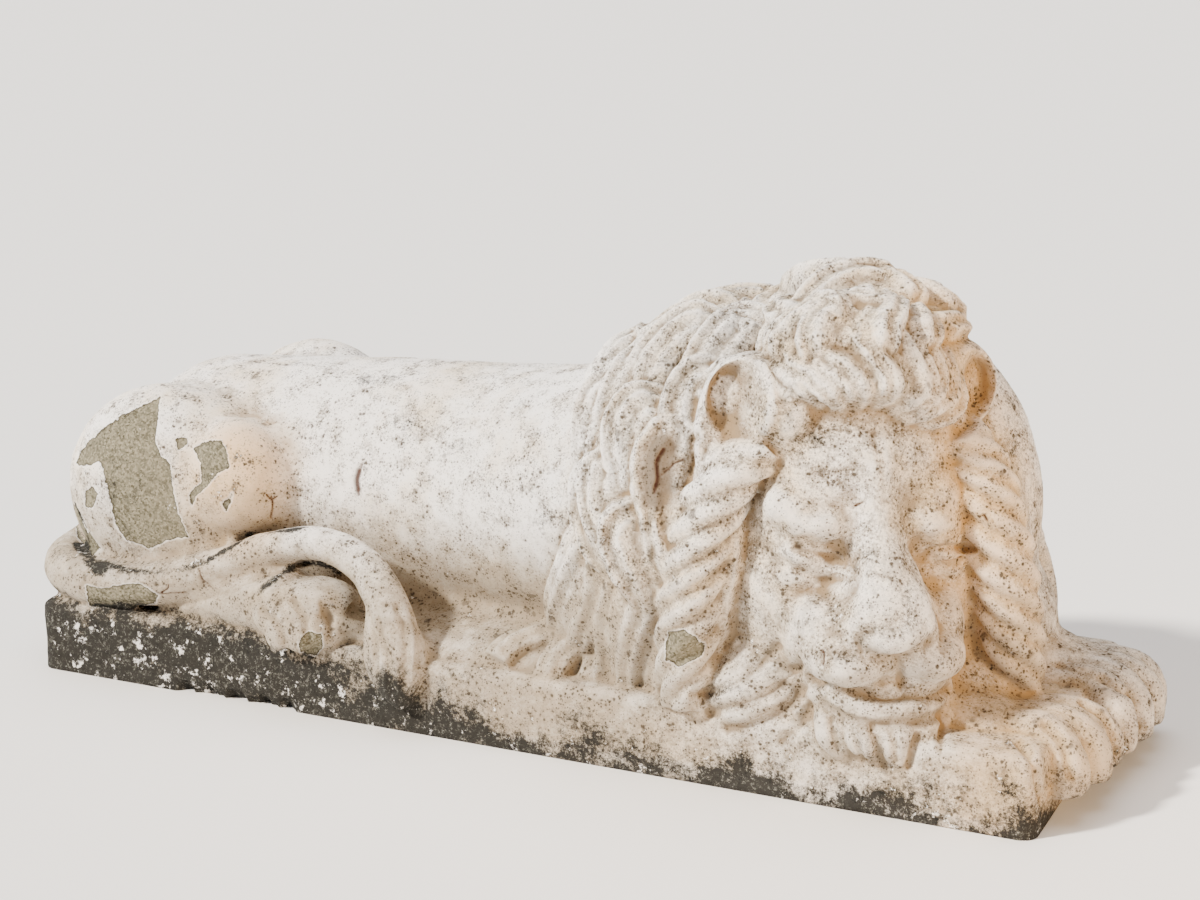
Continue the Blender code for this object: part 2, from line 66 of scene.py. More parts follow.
# %% Sizes in metres
PLINTH_LENGTH = 1.20
PLINTH_WIDTH = 0.40
PLINTH_HEIGHT = 0.085
PLINTH_CORNER = 0.018
PLINTH_WORN_EDGE = 0.012
FIGURE_LENGTH = 1.32
SQUARE = FIGURE_LENGTH / 132
BELOW_GROUND = 0.03

# %% Squares to metres
def place(point):
    """Grid squares to metres."""
    return Vector(point) * SQUARE


print("one square is", round(SQUARE * 1000, 1), "mm")

# %% [markdown]
# The head is turned to the lion's right and leans a little, so it gets axes of its own: forward to the
# nose, sideways to the lion's left, and height above the ground.

# %% The head's axes
HEAD_PLACE = Vector((36, -6, 0))
HEAD_TURN = math.radians(-55)
HEAD_LEAN = -0.05
FORWARDS = Vector((math.cos(HEAD_TURN), math.sin(HEAD_TURN), 0))
SIDEWAYS = Vector((-math.sin(HEAD_TURN), math.cos(HEAD_TURN), 0))
UP = Vector((0, 0, 1))
DOWN = -UP
BACK = Vector((-1, 0, 0))


def head(forward, side, height):
    """A point given in the head's own axes, as a point on the grid."""
    leant = side + HEAD_LEAN * (height - 12)
    return HEAD_PLACE + FORWARDS * forward + SIDEWAYS * leant + Vector((0, 0, height))


# %% [markdown]
# ## The camera
#
# The camera comes early because the marks of age are placed later by looking through it: a crack that is
# seen at some spot of the picture is carved where that line of sight meets the stone. It stands low, a
# quarter turn off the long side, with a lens of about 66 mm on a full-frame sensor.

# %% Camera
PICTURE = (1200, 900)
SENSOR = 36
LENS = 65.69
AZIMUTH, ELEVATION = math.radians(25), math.radians(14)
AIM = Vector((0.0425, 0, 0.2893))
EYE_DISTANCE = 2.4555
TOWARDS_EYE = Vector((
    math.sin(AZIMUTH) * math.cos(ELEVATION), -math.cos(AZIMUTH) * math.cos(ELEVATION), math.sin(ELEVATION)
))
EYE = AIM + TOWARDS_EYE * EYE_DISTANCE


def new_object(name, data):
    """An object at the origin, in the scene."""
    thing = bpy.data.objects.new(name, data)
    bpy.context.scene.collection.objects.link(thing)
    return thing


camera = new_object("camera", bpy.data.cameras.new("camera"))
camera.data.sensor_width = SENSOR
camera.data.lens = LENS
camera.location = EYE
camera.rotation_euler = TOWARDS_EYE.to_track_quat("Z", "Y").to_euler()
bpy.context.scene.camera = camera

# %% A line of sight
RIGHT = UP.cross(TOWARDS_EYE).normalized()
ABOVE = TOWARDS_EYE.cross(RIGHT).normalized()


def sight(x, y):
    """The direction from the eye through a spot of the picture."""
    half = PICTURE[0] / 2
    wide = (x - half) / half * SENSOR / 2
    high = (PICTURE[1] / 2 - y) / half * SENSOR / 2
    return (RIGHT * wide + ABOVE * high - TOWARDS_EYE * LENS).normalized()


# %% [markdown]
# ## Clay: eggs and limbs
#
# Two shapes do most of the modelling. An egg is a stretched ball, for a haunch or a cheek. A limb is a skin
# over rings that follow a smooth curve and change in width and height, for the trunk, legs, tail and lips.
# They may overlap as they like, because everything is fused later. That is why eggs and rings are enough
# here, where edge-by-edge modelling would need thousands of hand-placed points.

# %% A smooth curve through points
def spline(points, samples):
    """Samples of a Catmull-Rom curve through points, which may have any number of coordinates."""
    values = [Vector(p) for p in points]
    values = [values[0] * 2 - values[1], *values, values[-1] * 2 - values[-2]]
    result = []
    spans = len(values) - 3
    for index in range(samples + 1):
        where = min(index / samples * spans, spans - 1e-6)
        first = int(where)
        t = where - first
        a, b, c, d = values[first:first + 4]
        bend = a * 2 - b * 5 + c * 4 - d
        twist = b * 3 - a - c * 3 + d
        result.append((b * 2 + (c - a) * t + bend * t * t + twist * t ** 3) / 2)
    return result


# %% Eggs
def egg(clay, centre, radii, turn=(0, 0, 0)):
    """A stretched ball. centre and radii are in squares, and turn is in degrees about X, Y and Z."""
    rotation = Euler([math.radians(angle) for angle in turn]).to_matrix().to_4x4()
    size = Matrix.Diagonal((*(Vector(radii) * SQUARE), 1))
    matrix = Matrix.Translation(place(centre)) @ rotation @ size
    bmesh.ops.create_icosphere(clay, subdivisions=4, radius=1, matrix=matrix)


def head_egg(clay, forward, side, height, radii, pitch=0, roll=0):
    """An egg in the head's own axes: its radii run forwards, sideways and up."""
    egg(clay, head(forward, side, height), radii, (roll, pitch, math.degrees(HEAD_TURN)))


# %% Limbs
def ring_at(centre, along, outwards, width, thickness, sides):
    """One ring of a limb: width runs across it, thickness runs outwards."""
    across = outwards.cross(along).normalized()
    outwards = along.cross(across).normalized()
    turns = [2 * math.pi * i / sides for i in range(sides)]
    return [centre + across * width * math.cos(t) + outwards * thickness * math.sin(t) for t in turns]


def loft(clay, rings):
    """A closed skin over rings of points, with a point at each end."""
    loops = [[clay.verts.new(place(point)) for point in ring] for ring in rings]
    count = len(loops[0])
    for low, high in zip(loops, loops[1:]):
        for i in range(count):
            j = (i + 1) % count
            clay.faces.new((low[i], low[j], high[j], high[i]))
    for loop, ring, turned in ((loops[0], rings[0], True), (loops[-1], rings[-1], False)):
        tip = clay.verts.new(place(sum(ring, Vector()) / count))
        for i in range(count):
            j = (i + 1) % count
            clay.faces.new((loop[j], loop[i], tip) if turned else (loop[i], loop[j], tip))


def limb(clay, points, sides=20, samples=24, up=UP):
    """A tapering limb. Each point is x, y, z, half width and half height, in squares."""
    smooth = spline(points, samples)
    centres = [Vector(value[:3]) for value in smooth]
    rings = []
    for i, value in enumerate(smooth):
        along = (centres[min(i + 1, samples)] - centres[max(i - 1, 0)]).normalized()
        side = up if abs(along.dot(up)) < 0.95 else Vector((1, 0, 0))
        rings.append(ring_at(centres[i], along, side, value[3], value[4], sides))
    loft(clay, rings)


# %% [markdown]
# Fusing turns the overlapping shapes into one skin. The Remesh modifier in voxel mode keeps only the
# outside of everything, and Smooth then rounds the joins as a wet sponge rounds clay. It runs three times,
# each finer than the last: body first, then the face and limbs, then the hair. While the scene is being
# tried out, the voxels may be coarser.

# %% Fusing
FINE = 1.0
# The side of a voxel in metres, and the rounds of softening after it
BODY_FUSING, FLESH_FUSING, CASTING_FUSING = (0.008, 14), (0.005, 6), (0.0027, 2)


def evaluated(thing):
    """An object's mesh with its modifiers applied, as a new mesh."""
    graph = bpy.context.evaluated_depsgraph_get()
    return bpy.data.meshes.new_from_object(thing.evaluated_get(graph))


def fused(name, clay, voxel, softening):
    """The clay's overlapping forms made one skin, and that skin softened."""
    mesh = bpy.data.meshes.new(name)
    clay.to_mesh(mesh)
    clay.free()
    rough = new_object(name, mesh)
    fuse = rough.modifiers.new("fuse", "REMESH")
    fuse.mode = "VOXEL"
    fuse.voxel_size = voxel * FINE
    soften = rough.modifiers.new("soften", "SMOOTH")
    soften.factor = 0.5
    soften.iterations = round(softening / FINE)
    skin = evaluated(rough)
    bpy.data.objects.remove(rough)
    print(name, "fused:", len(skin.vertices), "points")
    return skin


# %% [markdown]
# ## Body and skull
#
# The trunk is one limb with a dip behind the shoulders. The haunches, shoulders and the swelling ground
# under the belly are eggs that sink into it. The mass of the mane is modelled as a body form too, so that
# the locks have something solid to lie on. These forms are softened most, because the real flank has no
# crease in it.

# %% Trunk, haunches and ground
TRUNK = (
    (-54, 0.5, 20, 8, 9.5), (-47, 0, 20.8, 12.5, 14.4), (-37, 1, 21, 13.5, 15), (-22, 1.5, 21.8, 14, 15.2),
    (-8, 1, 22.6, 14.3, 15), (4, 0, 23.6, 15, 15.2), (14, -0.5, 25, 15, 15.6), (22, -1, 25, 13, 15),
)
body_clay = bmesh.new()
limb(body_clay, TRUNK, sides=32, samples=40)
# Haunches and shoulders
egg(body_clay, (-46, -10, 20.5), (14.5, 8, 13.6), (0, 14, 5))
egg(body_clay, (-35.6, -13, 24.6), (6.2, 4.6, 7), (0, 8, 0))
egg(body_clay, (-39, 11, 23), (13, 7.5, 13.4), (0, 8, -4))
egg(body_clay, (12, -8, 19), (10, 8, 13))
egg(body_clay, (12, 9.5, 20), (11, 8.5, 14))
# The ground swells up to meet the belly, the tail and the hind feet
egg(body_clay, (-8, 0, 8), (40, 19, 4.6))
egg(body_clay, (33, -13, 8), (10, 6.4, 4.2))
egg(body_clay, (-50, -1, 8), (13, 15, 6))
egg(body_clay, (-56.5, -3, 11), (5.4, 10, 8))
egg(body_clay, (-40, 11, 12), (13, 7, 7))

# %% The mass of the mane
egg(body_clay, (22, 0, 28.6), (13.6, 15, 16))
egg(body_clay, (34.5, -2, 32.5), (14, 14.5, 16.8))
egg(body_clay, (18.5, -11, 20), (8.5, 7.5, 18))
egg(body_clay, (41, 6.5, 25), (12, 9.5, 19))
egg(body_clay, (42, 8.5, 12), (13, 10, 12))
egg(body_clay, (46, -3.5, 8), (10, 8, 6.5))
egg(body_clay, (24, 11.5, 20), (15, 8.5, 17))

# %% Skull, cheeks and jaws
head_egg(body_clay, 0.6, 0, 28, (10.4, 11.5, 13))
head_egg(body_clay, 4.6, 0, 34, (6.6, 9.6, 7))
limb(body_clay, (
    (*head(7, 0, 33), 4.4, 4), (*head(8.4, 0, 28.5), 4, 4), (*head(10.4, 0, 24.6), 4, 4.4),
    (*head(12.6, 0, 21.4), 4.6, 4.6), (*head(13.2, 0, 19), 4.6, 4.2),
), up=FORWARDS)
for side in (-1, 1):
    head_egg(body_clay, 2.8, 7.6 * side, 21.5, (7, 5.6, 11), pitch=-8)
    head_egg(body_clay, 6.8, 5.8 * side, 29.8, (4.4, 5, 4.4), pitch=8)
    head_egg(body_clay, 0, 12.5 * side, 24, (4.4, 4, 14))
head_egg(body_clay, 3, 14.5, 18, (5, 4.5, 15))
head_egg(body_clay, 8.6, 0, 17.8, (8.8, 8, 6))
head_egg(body_clay, 8, 0, 12.2, (7.6, 6.4, 4.4))
head_egg(body_clay, 4.6, 0.4, 42.5, (4.6, 6.8, 5.4))
for side in (-1, 1):
    head_egg(body_clay, 4.4, 10.4 * side, 9.6, (5.4, 6.4, 5.4), roll=14 * side)

body_skin = fused("body", body_clay, *BODY_FUSING)

# %% [markdown]
# ## Face, ears, legs and tail
#
# These are firmer than the body, so they are added to its finished skin and softened less. The eyes are
# closed: each is an upper lid lying on a lower one, under a heavy brow. The broad nose sits on two whisker
# pads, and the lower lip hangs under them. Each ear is a rim that curls round a hollow, with a fold before
# it.

# %% Nose bridge and nose
flesh_clay = bmesh.new()
flesh_clay.from_mesh(body_skin)
limb(flesh_clay, (
    (*head(7.4, 0, 33), 3, 2.4), (*head(9.4, 0, 29.4), 2.8, 2.8), (*head(11, 0, 26), 2.9, 3.2),
    (*head(13.4, 0, 23.4), 3.5, 3.2), (*head(15.4, 0, 21.6), 4, 2.8), (*head(16, 0, 20.4), 4, 2.2),
), up=FORWARDS)
head_egg(flesh_clay, 16, 0, 19.6, (3.2, 3.9, 2.2), pitch=14)

# %% Nostril wings, whisker pads, brows and closed lids
for side in (-1, 1):
    head_egg(flesh_clay, 14.6, 3.0 * side, 19.6, (2.8, 1.9, 2.1))
    head_egg(flesh_clay, 12.6, 4.0 * side, 16.2, (5.6, 4.4, 3.0), pitch=4)
    head_egg(flesh_clay, 8.2, 6.2 * side, 17.4, (6, 3.4, 4.6), pitch=-12)
    limb(flesh_clay, (
        (*head(9.8, 3.0 * side, 28.6), 1.2, 1.4), (*head(10.1, 5.8 * side, 28.7), 1.7, 2.0),
        (*head(8.2, 8.4 * side, 28.0), 1.5, 1.7), (*head(5.6, 10.4 * side, 26.6), 1.0, 1.1),
    ), sides=14)
    head_egg(flesh_clay, 9.2, 6.5 * side, 26.3, (2.0, 3.1, 1.5), roll=-4 * side)
    head_egg(flesh_clay, 8.8, 6.6 * side, 23.6, (1.9, 3.4, 1.4), roll=-4 * side)

# %% Lower lip
limb(flesh_clay, (
    (*head(8.6, -6.6, 12.6), 1, 1), (*head(11.4, -5.8, 12), 1.9, 1.9), (*head(14.4, -3.2, 11.6), 2.3, 2.2),
    (*head(15.4, 0, 11.4), 2.4, 2.3), (*head(14.4, 3.2, 11.6), 2.3, 2.2), (*head(11.4, 5.8, 12), 1.9, 1.9),
    (*head(8.6, 6.6, 12.6), 1, 1),
), sides=14, samples=30)

# %% Ears
EARS = ((-1, 40), (1, 41))
for side, height in EARS:
    head_egg(flesh_clay, 3, 10.2 * side, height, (4.8, 5.2, 5.2))
    head_egg(flesh_clay, 5, 7.4 * side, height - 0.6, (3.8, 2.6, 4.6), roll=8 * side)

# %% [markdown]
# The forelegs reach past the plinth's end and the toes hang over it. Each toe is a limb with a high knuckle
# that bends down at its tip. The tail comes round the rump, lies along the haunch and ends in a tuft.

# %% Legs
LEGS = (
    ((16, -8, 12, 4, 4), (27, -10, 10.5, 5, 5), (40, -10.5, 8, 4.4, 4.4), (54, -9.5, 6.8, 5.4, 3.6)),
    ((10, 14, 13, 5, 5), (32, 13, 11, 5, 5), (48, 10.5, 8.6, 5.4, 5), (58, 8.5, 6.6, 6.4, 4)),
    ((-44, -14, 10, 4, 3.8), (-34, -15.6, 11, 4, 4), (-26, -16.6, 11.6, 4.4, 4.2)),
    ((-40, 11, 12, 4, 4), (-30, 14.5, 10.6, 4, 4), (-20, 15.5, 10.2, 4.4, 3.8)),
)
for leg in LEGS:
    limb(flesh_clay, leg)

# %% Toes
def paw(clay, heel, tips, radius, hang):
    """Toes that fan out from a heel. Each tip is x and y, and hang is how low they reach."""
    for x, y in tips:
        knuckle = Vector((x, y, 0)).lerp(Vector((heel[0], heel[1], 0)), 0.38)
        limb(clay, (
            (heel[0], y * 0.5 + heel[1] * 0.5, heel[2], radius * 1.1, radius),
            (knuckle.x, knuckle.y, heel[2] + 0.6, radius * 1.05, radius * 1.1),
            (x - 0.6, y, heel[2] - 1.2, radius, radius * 1.05),
            (x + 0.2, y, hang + radius, radius * 0.85, radius * 0.8),
        ), sides=14, samples=16)


paw(flesh_clay, (52.5, -9, 7), [(61.4, -12.6), (62.6, -7.8), (62.8, -3.4)], 2.5, 0)
paw(flesh_clay, (55, 8.5, 7.2), [(63.4, 1.4), (64.2, 5.8), (64.4, 10.4), (63.8, 14.4)], 2.4, 0)
paw(flesh_clay, (-27, -16.6, 11.6), [(-20.4, -18.6), (-18.6, -16.2)], 2.8, 8.6)
paw(flesh_clay, (-28.5, -17.8, 10.6), [(-24.4, -20.6), (-21.6, -20.4)], 2.2, 6.4)
paw(flesh_clay, (-21, 15.5, 10), [(-14.4, 12.6), (-13, 15.6), (-14, 18.6)], 2.4, 7.6)

# %% Tail and tuft
TAIL = (
    (-52, 3, 22, 3.4, 3.4), (-58.5, 3, 18, 3.2, 3.2), (-61.6, 0.5, 13.8, 3, 3), (-62.6, -5.5, 11.6, 2.8, 2.8),
    (-61.4, -12, 11.2, 2.8, 2.8), (-57.4, -16.6, 11.2, 2.8, 2.8), (-51, -18.2, 11.2, 2.8, 2.8),
    (-43.5, -18, 12.2, 2.5, 2.5), (-36, -17, 14.8, 2.2, 2.2), (-29, -16.4, 17.8, 2, 2),
    (-22.5, -16.2, 19, 2, 2), (-17, -16.8, 17.6, 2.1, 2.1), (-13.4, -18.2, 14.6, 2.4, 2.4),
    (-11.6, -19.4, 12, 2.6, 2.6),
)
TUFT_ROOT, TUFT_TIP = Vector((-13.2, -18.4, 14.8)), Vector((-9.6, -21, 3.0))
limb(flesh_clay, TAIL, sides=16, samples=70)
limb(flesh_clay, (
    (*TUFT_ROOT, 2.2, 2.0), (*TUFT_ROOT.lerp(TUFT_TIP, 0.5), 3.9, 2.4),
    (*TUFT_ROOT.lerp(TUFT_TIP, 0.8), 2.8, 2.0), (*TUFT_TIP, 0.7, 0.7),
), sides=16, up=Vector((0, -1, 0)))
flesh_skin = fused("flesh", flesh_clay, *FLESH_FUSING)

# %% [markdown]
# ## Hair
#
# A carved mane is made of locks: each one starts somewhere, follows the form under it, sways, and ends in a
# point. So the place of each lock is a walk over the body's skin. At every step we take a small stride,
# find the nearest place on the skin again, and note that place, the skin's normal and how wide the lock is
# there. The walks only give lines. Turning lines into solid locks is left to Geometry Nodes, further down,
# because one tree can then give every lock the same stranded section.

# %% The skin that the hair lies on
def search_tree(mesh):
    """A mesh made ready for finding its nearest place, or what a line of sight meets."""
    form = bmesh.new()
    form.from_mesh(mesh)
    tree = BVHTree.FromBMesh(form)
    form.free()
    return tree


coat = search_tree(body_skin)


def on_coat(point):
    """The nearest place on the body's skin and its normal, both on the grid."""
    found, normal, _, _ = coat.find_nearest(place(point))
    return found / SQUARE, normal


# %% One lock's walk
def walk(root, heading, length, width, sway=0.3, droop=0.5, waves=1.0, lift=0.6, hand=1, blunt=False):
    """A lock as a list of points on the grid, each with its normal and half width, and its high side."""
    steps = max(12, round(length * 1.3))
    spot, normal = on_coat(root)
    course = Vector(heading).normalized()
    line = []
    for i in range(steps + 1):
        share = i / steps
        # Full a quarter of the way along, and narrowing faster and faster to the tip
        fullness = min(1, 0.3 + 2.6 * share) * (1 - share ** 3 * (0.5 if blunt else 1)) ** 0.6 + 0.04
        # The root is sunk into the skin, and the tip settles back on it
        buried = max(0, 1 - share / 0.28)
        settled = 1 - 0.55 * max(0, share - 0.6) / 0.4
        centre = spot + normal * width * (lift * (1 - buried) * settled - 0.75 * buried)
        line.append((centre, normal.copy(), width * fullness))
        bend = normal.cross(course) * sway * math.cos(2 * math.pi * waves * share)
        turned = course + bend + DOWN * droop * share
        step = (turned - normal * turned.dot(normal)).normalized()
        spot, normal = on_coat(spot + step * length / steps)
    return line, hand


# %% [markdown]
# The mane lies in tiers, like roof tiles: each tier of locks overlaps the next one behind it. They part
# along the crown and fall back and down on both sides, and neighbours sway the same way so that grooves
# stay open between them. The rows of numbers say, for each tier, how far along the body it starts, how far
# round it reaches on the near and the far side in degrees, how long and wide its locks are, and how steeply
# they fall.

# %% Tiers of the mane
TIERS = (
    (43.5, 6, 112, 15, 2.9, 24),
    (38, -16, 114, 17, 3.2, 30),
    (32, -48, 116, 18, 3.4, 34),
    (25.5, -74, 116, 18, 3.4, 36),
    (19.5, -92, 112, 15, 3.2, 38),
    (14.5, -84, 100, 11, 2.8, 36),
)
MANE_AXIS = Vector((0, 0, 27))
MANE_REACH = 18
LOCK_SPACING = 1.62

broad_locks = []
for tier, (along, near, far, length, width, slope) in enumerate(reversed(TIERS)):
    count = round((far - near) / math.degrees(LOCK_SPACING * width / MANE_REACH))
    for i in range(count + 1):
        turn = math.radians(near + (far - near) * (i + 0.5 * (tier % 2)) / count)
        start = MANE_AXIS + Vector((
            along + 1.4 * (-1) ** i, MANE_REACH * math.sin(turn), MANE_REACH * math.cos(turn)
        ))
        fall = math.radians(slope) * (0.2 + abs(math.sin(turn)) * 1.6)
        heading = BACK * math.cos(fall) + DOWN * math.sin(fall) + Vector((0, 0.4 * math.sin(turn), 0))
        lean = -1 if turn < 0 else 1
        broad_locks.append(walk(
            start, heading, length + 2 * (i % 2), width * (1.06 - 0.16 * (i % 2)),
            sway=1.15 * lean, waves=0.9, droop=0.7, lift=0.4 + 0.26 * (i % 2), hand=lean,
        ))
print(len(broad_locks), "locks in the mane")

# %% [markdown]
# The forelocks rise from the middle of the hairline and spread like a palm, in three rows, one behind the
# other. The ruff under the jaw is one broad mass, so its strands are wide, lie close and stay blunt.

# %% Forelocks, and long strands down to the plinth
slim_locks, ruff_locks = [], []
FORELOCKS = ((7, 39.4, 3.4, 12.5, 2.1, 1.15), (6, 42.8, 6.2, 13, 2.6, 0.8), (5, 46, 7.4, 11, 2.7, 0.5))
for row, (number, height, reach, length, width, fan) in enumerate(FORELOCKS):
    for i in range(number):
        spread = 2 * i / (number - 1) - 1
        start = head(8.6 - 2.2 * row - 2 * spread * spread, reach * spread, height - 0.8 * abs(spread))
        slim_locks.append(walk(
            start, UP + SIDEWAYS * fan * spread, length - abs(spread), width * (1.1 - 0.2 * (i % 2)),
            sway=(-0.85, 0.8, -0.8)[row], waves=0.95, droop=-0.1, lift=0.42 + 0.42 * (i % 2),
            hand=1 if spread > 0 else -1,
        ))
for near in (-1, 1):
    for i in range(6):
        start = Vector((11 + 2.7 * i, 17 * near, 31 + 0.8 * i))
        ruff_locks.append(walk(
            start, DOWN + BACK * (0.5 - 0.1 * i), 28, 2.3,
            sway=0.3, droop=0.8, waves=0.8, lift=0.1 + 0.22 * (i % 2), hand=near, blunt=True,
        ))
for i in range(8):
    start = Vector((27 + 3.5 * i, 20 - 0.14 * i * i, 31 - 0.4 * i))
    ruff_locks.append(walk(
        start, DOWN + BACK * 0.2, 24, 2.4,
        sway=0.3, droop=0.6, waves=0.8, lift=0.15 + 0.2 * (i % 2), blunt=True,
    ))
print(len(slim_locks) + len(ruff_locks), "forelocks and strands of the ruff")

# %% [markdown]
# ## Locks by Geometry Nodes
#
# The lines become a mesh of bare edges that carries each point's normal and half width as attributes. The
# tree makes a curve of it, points the curve's normals out of the skin, and sweeps a section along it. The
# section is a circle whose outer half is pressed into ridges, one for each strand. All sizes are named
# inputs, so the same tree gives broad locks with three strands and slim ones with two.

# %% Adding a node
def add(tree, kind, inputs=(), **settings):
    """One node with its settings, its values, and its links from other nodes' sockets."""
    made = tree.nodes.new(kind)
    for name, value in settings.items():
        setattr(made, name, value)
    for socket, value in dict(inputs).items():
        if isinstance(value, bpy.types.Node):
            value = next(out for out in value.outputs if out.enabled)
        if isinstance(value, bpy.types.NodeSocket):
            tree.links.new(value, made.inputs[socket])
        else:
            made.inputs[socket].default_value = value
    return made


# %% A tree with named inputs
def new_tree(name, sizes):
    """A Geometry Nodes tree with a geometry input, one number input for each size, and a material input."""
    tree = bpy.data.node_groups.new(name, "GeometryNodeTree")
    tree.interface.new_socket("Geometry", in_out="INPUT", socket_type="NodeSocketGeometry")
    for label, value in sizes.items():
        kind = "NodeSocketInt" if isinstance(value, int) else "NodeSocketFloat"
        tree.interface.new_socket(label, in_out="INPUT", socket_type=kind).default_value = value
    tree.interface.new_socket("Material", in_out="INPUT", socket_type="NodeSocketMaterial")
    tree.interface.new_socket("Geometry", in_out="OUTPUT", socket_type="NodeSocketGeometry")
    return tree, tree.nodes.new("NodeGroupInput"), tree.nodes.new("NodeGroupOutput")


def swept(tree, given, out, curve, profile):
    """Sweeps the profile along the curve, and ends the tree in plain geometry with its material."""
    width = add(tree, "GeometryNodeInputNamedAttribute", {"Name": "half_width"}, data_type="FLOAT")
    mesh = add(tree, "GeometryNodeCurveToMesh", {
        "Curve": curve, "Profile Curve": profile, "Scale": width, "Fill Caps": True
    })
    real = add(tree, "GeometryNodeRealizeInstances", {0: mesh})
    dressed = add(tree, "GeometryNodeSetMaterial", {"Geometry": real, "Material": given.outputs["Material"]})
    tree.links.new(dressed.outputs[0], out.inputs[0])


# %% The line that both trees sweep along
def guided_curve(tree, given):
    """The input's edges as curves whose normals point out of the skin."""
    curve = add(tree, "GeometryNodeMeshToCurve", {0: given.outputs["Geometry"]})
    normal = add(tree, "GeometryNodeInputNamedAttribute", {"Name": "outwards"}, data_type="FLOAT_VECTOR")
    return add(tree, "GeometryNodeSetCurveNormal", {"Curve": curve, "Normal": normal}, mode="FREE")


# %% The tree for locks
hair_tree, given, out = new_tree("hair_lock", {
    "Sides": 30, "Strands": 3.0, "Strand Depth": 0.42, "Thickness": 0.8, "Rolled Edge": 0.55
})
spot = add(hair_tree, "ShaderNodeSeparateXYZ", {0: add(hair_tree, "GeometryNodeInputPosition")})
made = {socket.name: socket for socket in given.outputs}
made.update(across=spot.outputs["Y"], outer=spot.outputs["X"])
# Each step is a name, an operation, and the numbers, inputs or earlier steps that it takes
for name, operation, *terms in (
    ("phase", "MULTIPLY", "across", "Strands"), ("phase", "MULTIPLY", "phase", math.pi / 2),
    ("ridge", "COSINE", "phase"), ("ridge", "ABSOLUTE", "ridge"), ("groove", "SUBTRACT", 1, "ridge"),
    ("pressed", "MULTIPLY", "groove", "Strand Depth"), ("kept", "SUBTRACT", 1, "pressed"),
    ("rolled", "MULTIPLY_ADD", "across", "Rolled Edge", 1), ("kept", "MULTIPLY", "kept", "rolled"),
    ("top", "MAXIMUM", "outer", 0), ("top", "POWER", "top", 0.7), ("top", "MULTIPLY", "top", "kept"),
    ("under", "MINIMUM", "outer", 0), ("height", "ADD", "top", "under"),
    ("height", "MULTIPLY", "height", "Thickness"),
):
    values = [made.get(term, term) for term in terms]
    made[name] = add(hair_tree, "ShaderNodeMath", dict(enumerate(values)), operation=operation)
circle = add(hair_tree, "GeometryNodeCurvePrimitiveCircle", {"Resolution": made["Sides"], "Radius": 1})
profile = add(hair_tree, "ShaderNodeCombineXYZ", {"X": made["height"], "Y": made["across"]})
section = add(hair_tree, "GeometryNodeSetPosition", {"Geometry": circle, "Position": profile})
swept(hair_tree, given, out, guided_curve(hair_tree, given), section)

# %% [markdown]
# The lock beside each cheek is twisted like a rope. Its tree is nearly the same, but the section has
# grooves all round, and the curve's tilt turns it as it goes down. A mark on each line says which way it
# winds, so that the two ropes mirror each other.

# %% The tree for twisted locks
rope_tree, given, out = new_tree("twisted_lock", {
    "Sides": 36, "Strands": 5.0, "Groove Depth": 0.24, "Turns": 1.7
})
place_in = add(rope_tree, "GeometryNodeInputPosition")
spot = add(rope_tree, "ShaderNodeSeparateXYZ", {0: place_in})
made = {socket.name: socket for socket in given.outputs}
made.update(
    across=spot.outputs["Y"], outer=spot.outputs["X"], down=add(rope_tree, "GeometryNodeSplineParameter"),
    hand=add(rope_tree, "GeometryNodeInputNamedAttribute", {"Name": "winding"}, data_type="FLOAT"),
)
for name, operation, *terms in (
    ("angle", "ARCTAN2", "across", "outer"), ("angle", "MULTIPLY", "angle", "Strands"),
    ("angle", "MULTIPLY", "angle", 0.5), ("ridge", "COSINE", "angle"), ("ridge", "ABSOLUTE", "ridge"),
    ("groove", "SUBTRACT", 1, "ridge"), ("pressed", "MULTIPLY", "groove", "Groove Depth"),
    ("radius", "SUBTRACT", 1.08, "pressed"), ("tilt", "MULTIPLY", "down", "Turns"),
    ("tilt", "MULTIPLY", "tilt", 2 * math.pi), ("tilt", "MULTIPLY", "tilt", "hand"),
):
    values = [made.get(term, term) for term in terms]
    made[name] = add(rope_tree, "ShaderNodeMath", dict(enumerate(values)), operation=operation)
circle = add(rope_tree, "GeometryNodeCurvePrimitiveCircle", {"Resolution": made["Sides"], "Radius": 1})
profile = add(rope_tree, "ShaderNodeVectorMath", {0: place_in, "Scale": made["radius"]}, operation="SCALE")
section = add(rope_tree, "GeometryNodeSetPosition", {"Geometry": circle, "Position": profile})
twisted = add(rope_tree, "GeometryNodeSetCurveTilt", {
    "Curve": guided_curve(rope_tree, given), "Tilt": made["tilt"]
})
swept(rope_tree, given, out, twisted, section)

